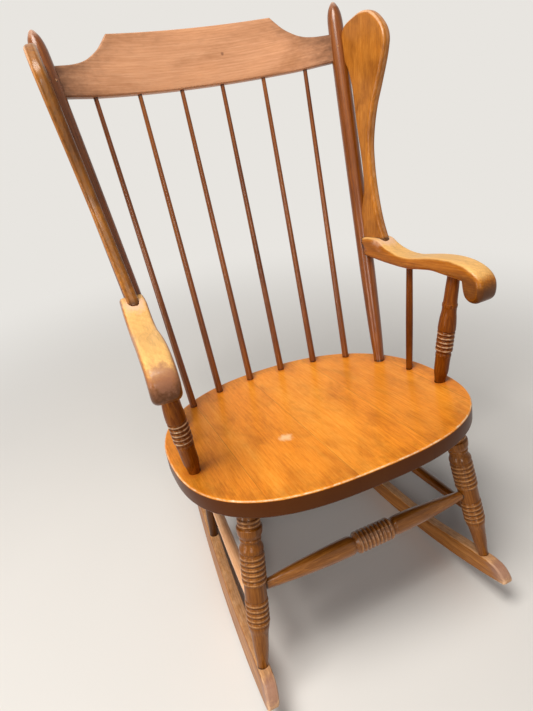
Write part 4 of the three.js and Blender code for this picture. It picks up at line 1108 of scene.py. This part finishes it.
wing_outline = inset_outline(smooth_path(in_wing_plane(WING_OUTLINE)), WING_OUTLINE_SLACK)
for side_name, side in SIDES:
    flat, arris = board_loops(wing_outline, WING_THICKNESS - WING_SLACK, WING_EDGE_ROUND, 7)
    along, up, through = np.moveaxis(flat, -1, 0)
    axes = mirrored(np.array([wing_along, wing_up]), side)
    # Wear and painted highlight: the edge faces and rounded arrises are painted pale, most at the
    # head.
    edge_face = 0.64 * (np.abs(through) < WING_THICKNESS / 2 - WING_EDGE_ROUND + 1)
    rim = arris * (0.58 + 0.42 * np.clip(up / WING_HEIGHT * 6 - 5, 0, 1))
    # Painted shade: the left wing's inner face and edges are darkened, and a dark line is painted
    # along the foot where the wing stands on the arm.
    left_inner_shade = 0.46 * np.clip((through + WING_THICKNESS / 2) / 4, 0, 1) * (side < 0)
    foot_shade_line = 0.6 * np.exp(-np.maximum(up, 0) / 1.5)
    foot_shade_line[[0, -1]] = 0
    wooden_piece(
        "wing_board_" + side_name,
        on_board(mirrored(wing_foot, side), *axes, along, up, through), (up, along, through),
        (1.3 * side, 5.0, 4.0), np.maximum(rim, edge_face), np.maximum(foot_shade_line, left_inner_shade),
        wing_maple, "wing_" + side_name,
    )

# --------------------
# Dowels and pins: plain beech dowels between arm, wing and post, and the small pins that lock the
# crest's tenons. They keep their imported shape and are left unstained.
BEECH_FIBRE_SCALE = 320.0

dowel_beech, beech_tree, beech_shader = new_finish("dowel_beech")
beech_place = shade_node(beech_tree, "ShaderNodeTexCoord").outputs["Object"]
beech_drawn = stretched(beech_tree, beech_place, (1.0, 1.0, 0.12))
beech_fibres = noise(beech_tree, beech_drawn, BEECH_FIBRE_SCALE, 3.0, 0.6)
beech_tones = [(0.35, linear((150, 100, 58))), (0.7, linear((206, 160, 108)))]
feed_named(
    beech_tree, beech_shader, Base_Color=ramped(beech_tree, beech_fibres, beech_tones),
    Roughness=between(beech_tree, beech_fibres, 0.0, 1.0, 0.5, 0.7),
    Normal=embossed(beech_tree, beech_fibres, 0.3),
)
for side_name, _ in SIDES:
    for kind in ("wing_foot_dowel_", "wing_head_dowel_", "crest_pin_"):
        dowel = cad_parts[kind + side_name]
        dowel.data.materials.clear()
        dowel.data.materials.append(dowel_beech)

# --------------------
# Studio: a plain pale floor under soft light, that fades into a backdrop of the same tone, and
# the camera where the photograph was taken. It is no part of the chair.
FLOOR_REACH = 30.0
FLOOR_COLOUR = (226, 222, 216)
FLOOR_CLOUD_COLOUR = (222, 218, 212)
BACKDROP_COLOUR = (232, 229, 224)
ROOM_LIGHT = (0.12, 0.12, 0.125, 1.0)
FADE_START = 0.5
FADE_END = 2.0
CAMERA_SCALE = 1.088
CAMERA_EYE = np.array([-334.374, -712.908, 436.135]) * CAMERA_SCALE
CAMERA_LENS = 36.361
CAMERA_AXES = np.array(
    [
        [0.90762175, -0.38621822, -0.1644939], [-0.2832338, -0.27418626, -0.91902149],
        [0.30984088, 0.88071413, -0.35824747],
    ]
)

scene = bpy.context.scene
floor_mesh = bpy.data.meshes.new("studio_floor")
floor_corners = np.array([[-1, -1, 0], [1, -1, 0], [1, 1, 0], [-1, 1, 0]]) * FLOOR_REACH
floor_mesh.from_pydata(floor_corners.tolist(), [], [[0, 1, 2, 3]])
floor_finish, floor_tree, floor_shader = new_finish("studio_floor_paint")
floor_place = shade_node(floor_tree, "ShaderNodeTexCoord").outputs["Object"]
floor_cloud = noise(floor_tree, floor_place, 1.4, 3.0, 0.5)
floor_tones = [(0.3, linear(FLOOR_CLOUD_COLOUR)), (0.7, linear(FLOOR_COLOUR))]
floor_paint = ramped(floor_tree, floor_cloud, floor_tones)
feed_named(floor_tree, floor_shader, Base_Color=floor_paint, Roughness=0.85)
far_away = shade_node(floor_tree, "ShaderNodeVectorMath", floor_place, operation="LENGTH")


def seen_ray(tree):
    """One for rays that look at the backdrop: from the camera, off a gloss, or through glass."""
    rays = shade_node(tree, "ShaderNodeLightPath").outputs
    looking = computed(tree, "MAXIMUM", rays["Is Camera Ray"], rays["Is Glossy Ray"])
    return computed(tree, "MAXIMUM", looking, rays["Is Transmission Ray"])


unlit = shade_node(floor_tree, "ShaderNodeEmission", linear(BACKDROP_COLOUR), 1.0)
faded = computed(
    floor_tree, "MULTIPLY",
    between(floor_tree, far_away.outputs["Value"], FADE_START, FADE_END), seen_ray(floor_tree),
)
layers = faded, floor_shader.outputs[0], unlit.outputs[0]
fade = shade_node(floor_tree, "ShaderNodeMixShader", *layers)
feed_named(floor_tree, floor_tree.nodes["Material Output"], Surface=fade.outputs[0])
floor_mesh.materials.append(floor_finish)
studio_floor = bpy.data.objects.new("studio_floor", floor_mesh)
scene.collection.objects.link(studio_floor)


def soft_lamp(name, place, target, width, height, watts, colour):
    """A rectangular lamp at a place, facing a target, both in the row frame."""
    light = bpy.data.lights.new(name, "AREA")
    light.shape = "RECTANGLE"
    light.size, light.size_y = width, height
    light.energy = watts
    light.color = colour
    forward = np.subtract(target, place)
    forward /= np.linalg.norm(forward)
    right = np.cross(forward, [0.0, 0.0, 1.0])
    right /= np.linalg.norm(right)
    matrix = np.eye(4)
    matrix[:3] = np.stack([right, np.cross(right, forward), -forward, place], axis=-1)
    lamp = bpy.data.objects.new(name, light)
    lamp.matrix_world = Matrix(matrix.tolist())
    scene.collection.objects.link(lamp)


soft_lamp("key_softbox", (-0.9, -0.4, 2.9), (0.0, 0.0, 0.5), 1.2, 1.2, 78, (1.0, 0.98, 0.95))
soft_lamp("front_softbox", (-1.0, -2.6, 1.5), (0.0, 0.0, 0.4), 0.5, 0.9, 19, (1.0, 0.98, 0.96))
soft_lamp("side_softbox", (-2.3, -0.6, 0.7), (0.0, 0.0, 0.2), 0.5, 0.9, 14, (1.0, 0.98, 0.96))

world = bpy.data.worlds.new("studio_world")
world.use_nodes = True
scene.world = world
room_and_backdrop = blended(
    world.node_tree, seen_ray(world.node_tree), ROOM_LIGHT, linear(BACKDROP_COLOUR)
)
feed_named(world.node_tree, world.node_tree.nodes["Background"], Color=room_and_backdrop)

camera_data = bpy.data.cameras.new("photo_camera")
camera_data.sensor_fit = "HORIZONTAL"
camera_data.sensor_width = 36.0
camera_data.lens = CAMERA_LENS
camera_data.clip_end = 60.0
camera = bpy.data.objects.new("photo_camera", camera_data)
tip = math.cos(REST_TILT), math.sin(REST_TILT)
tip_matrix = np.array([[1, 0, 0], [0, tip[0], tip[1]], [0, -tip[1], tip[0]]])
camera_matrix = np.eye(4)
camera_matrix[:3, :3] = tip_matrix @ CAMERA_AXES.T @ np.diag([1, -1, -1])
camera_matrix[:3, 3] = tipped_back(CAMERA_EYE)
camera.matrix_world = Matrix(camera_matrix.tolist())
scene.collection.objects.link(camera)
scene.camera = camera
scene.view_settings.view_transform = "Standard"

bpy.context.view_layer.update()
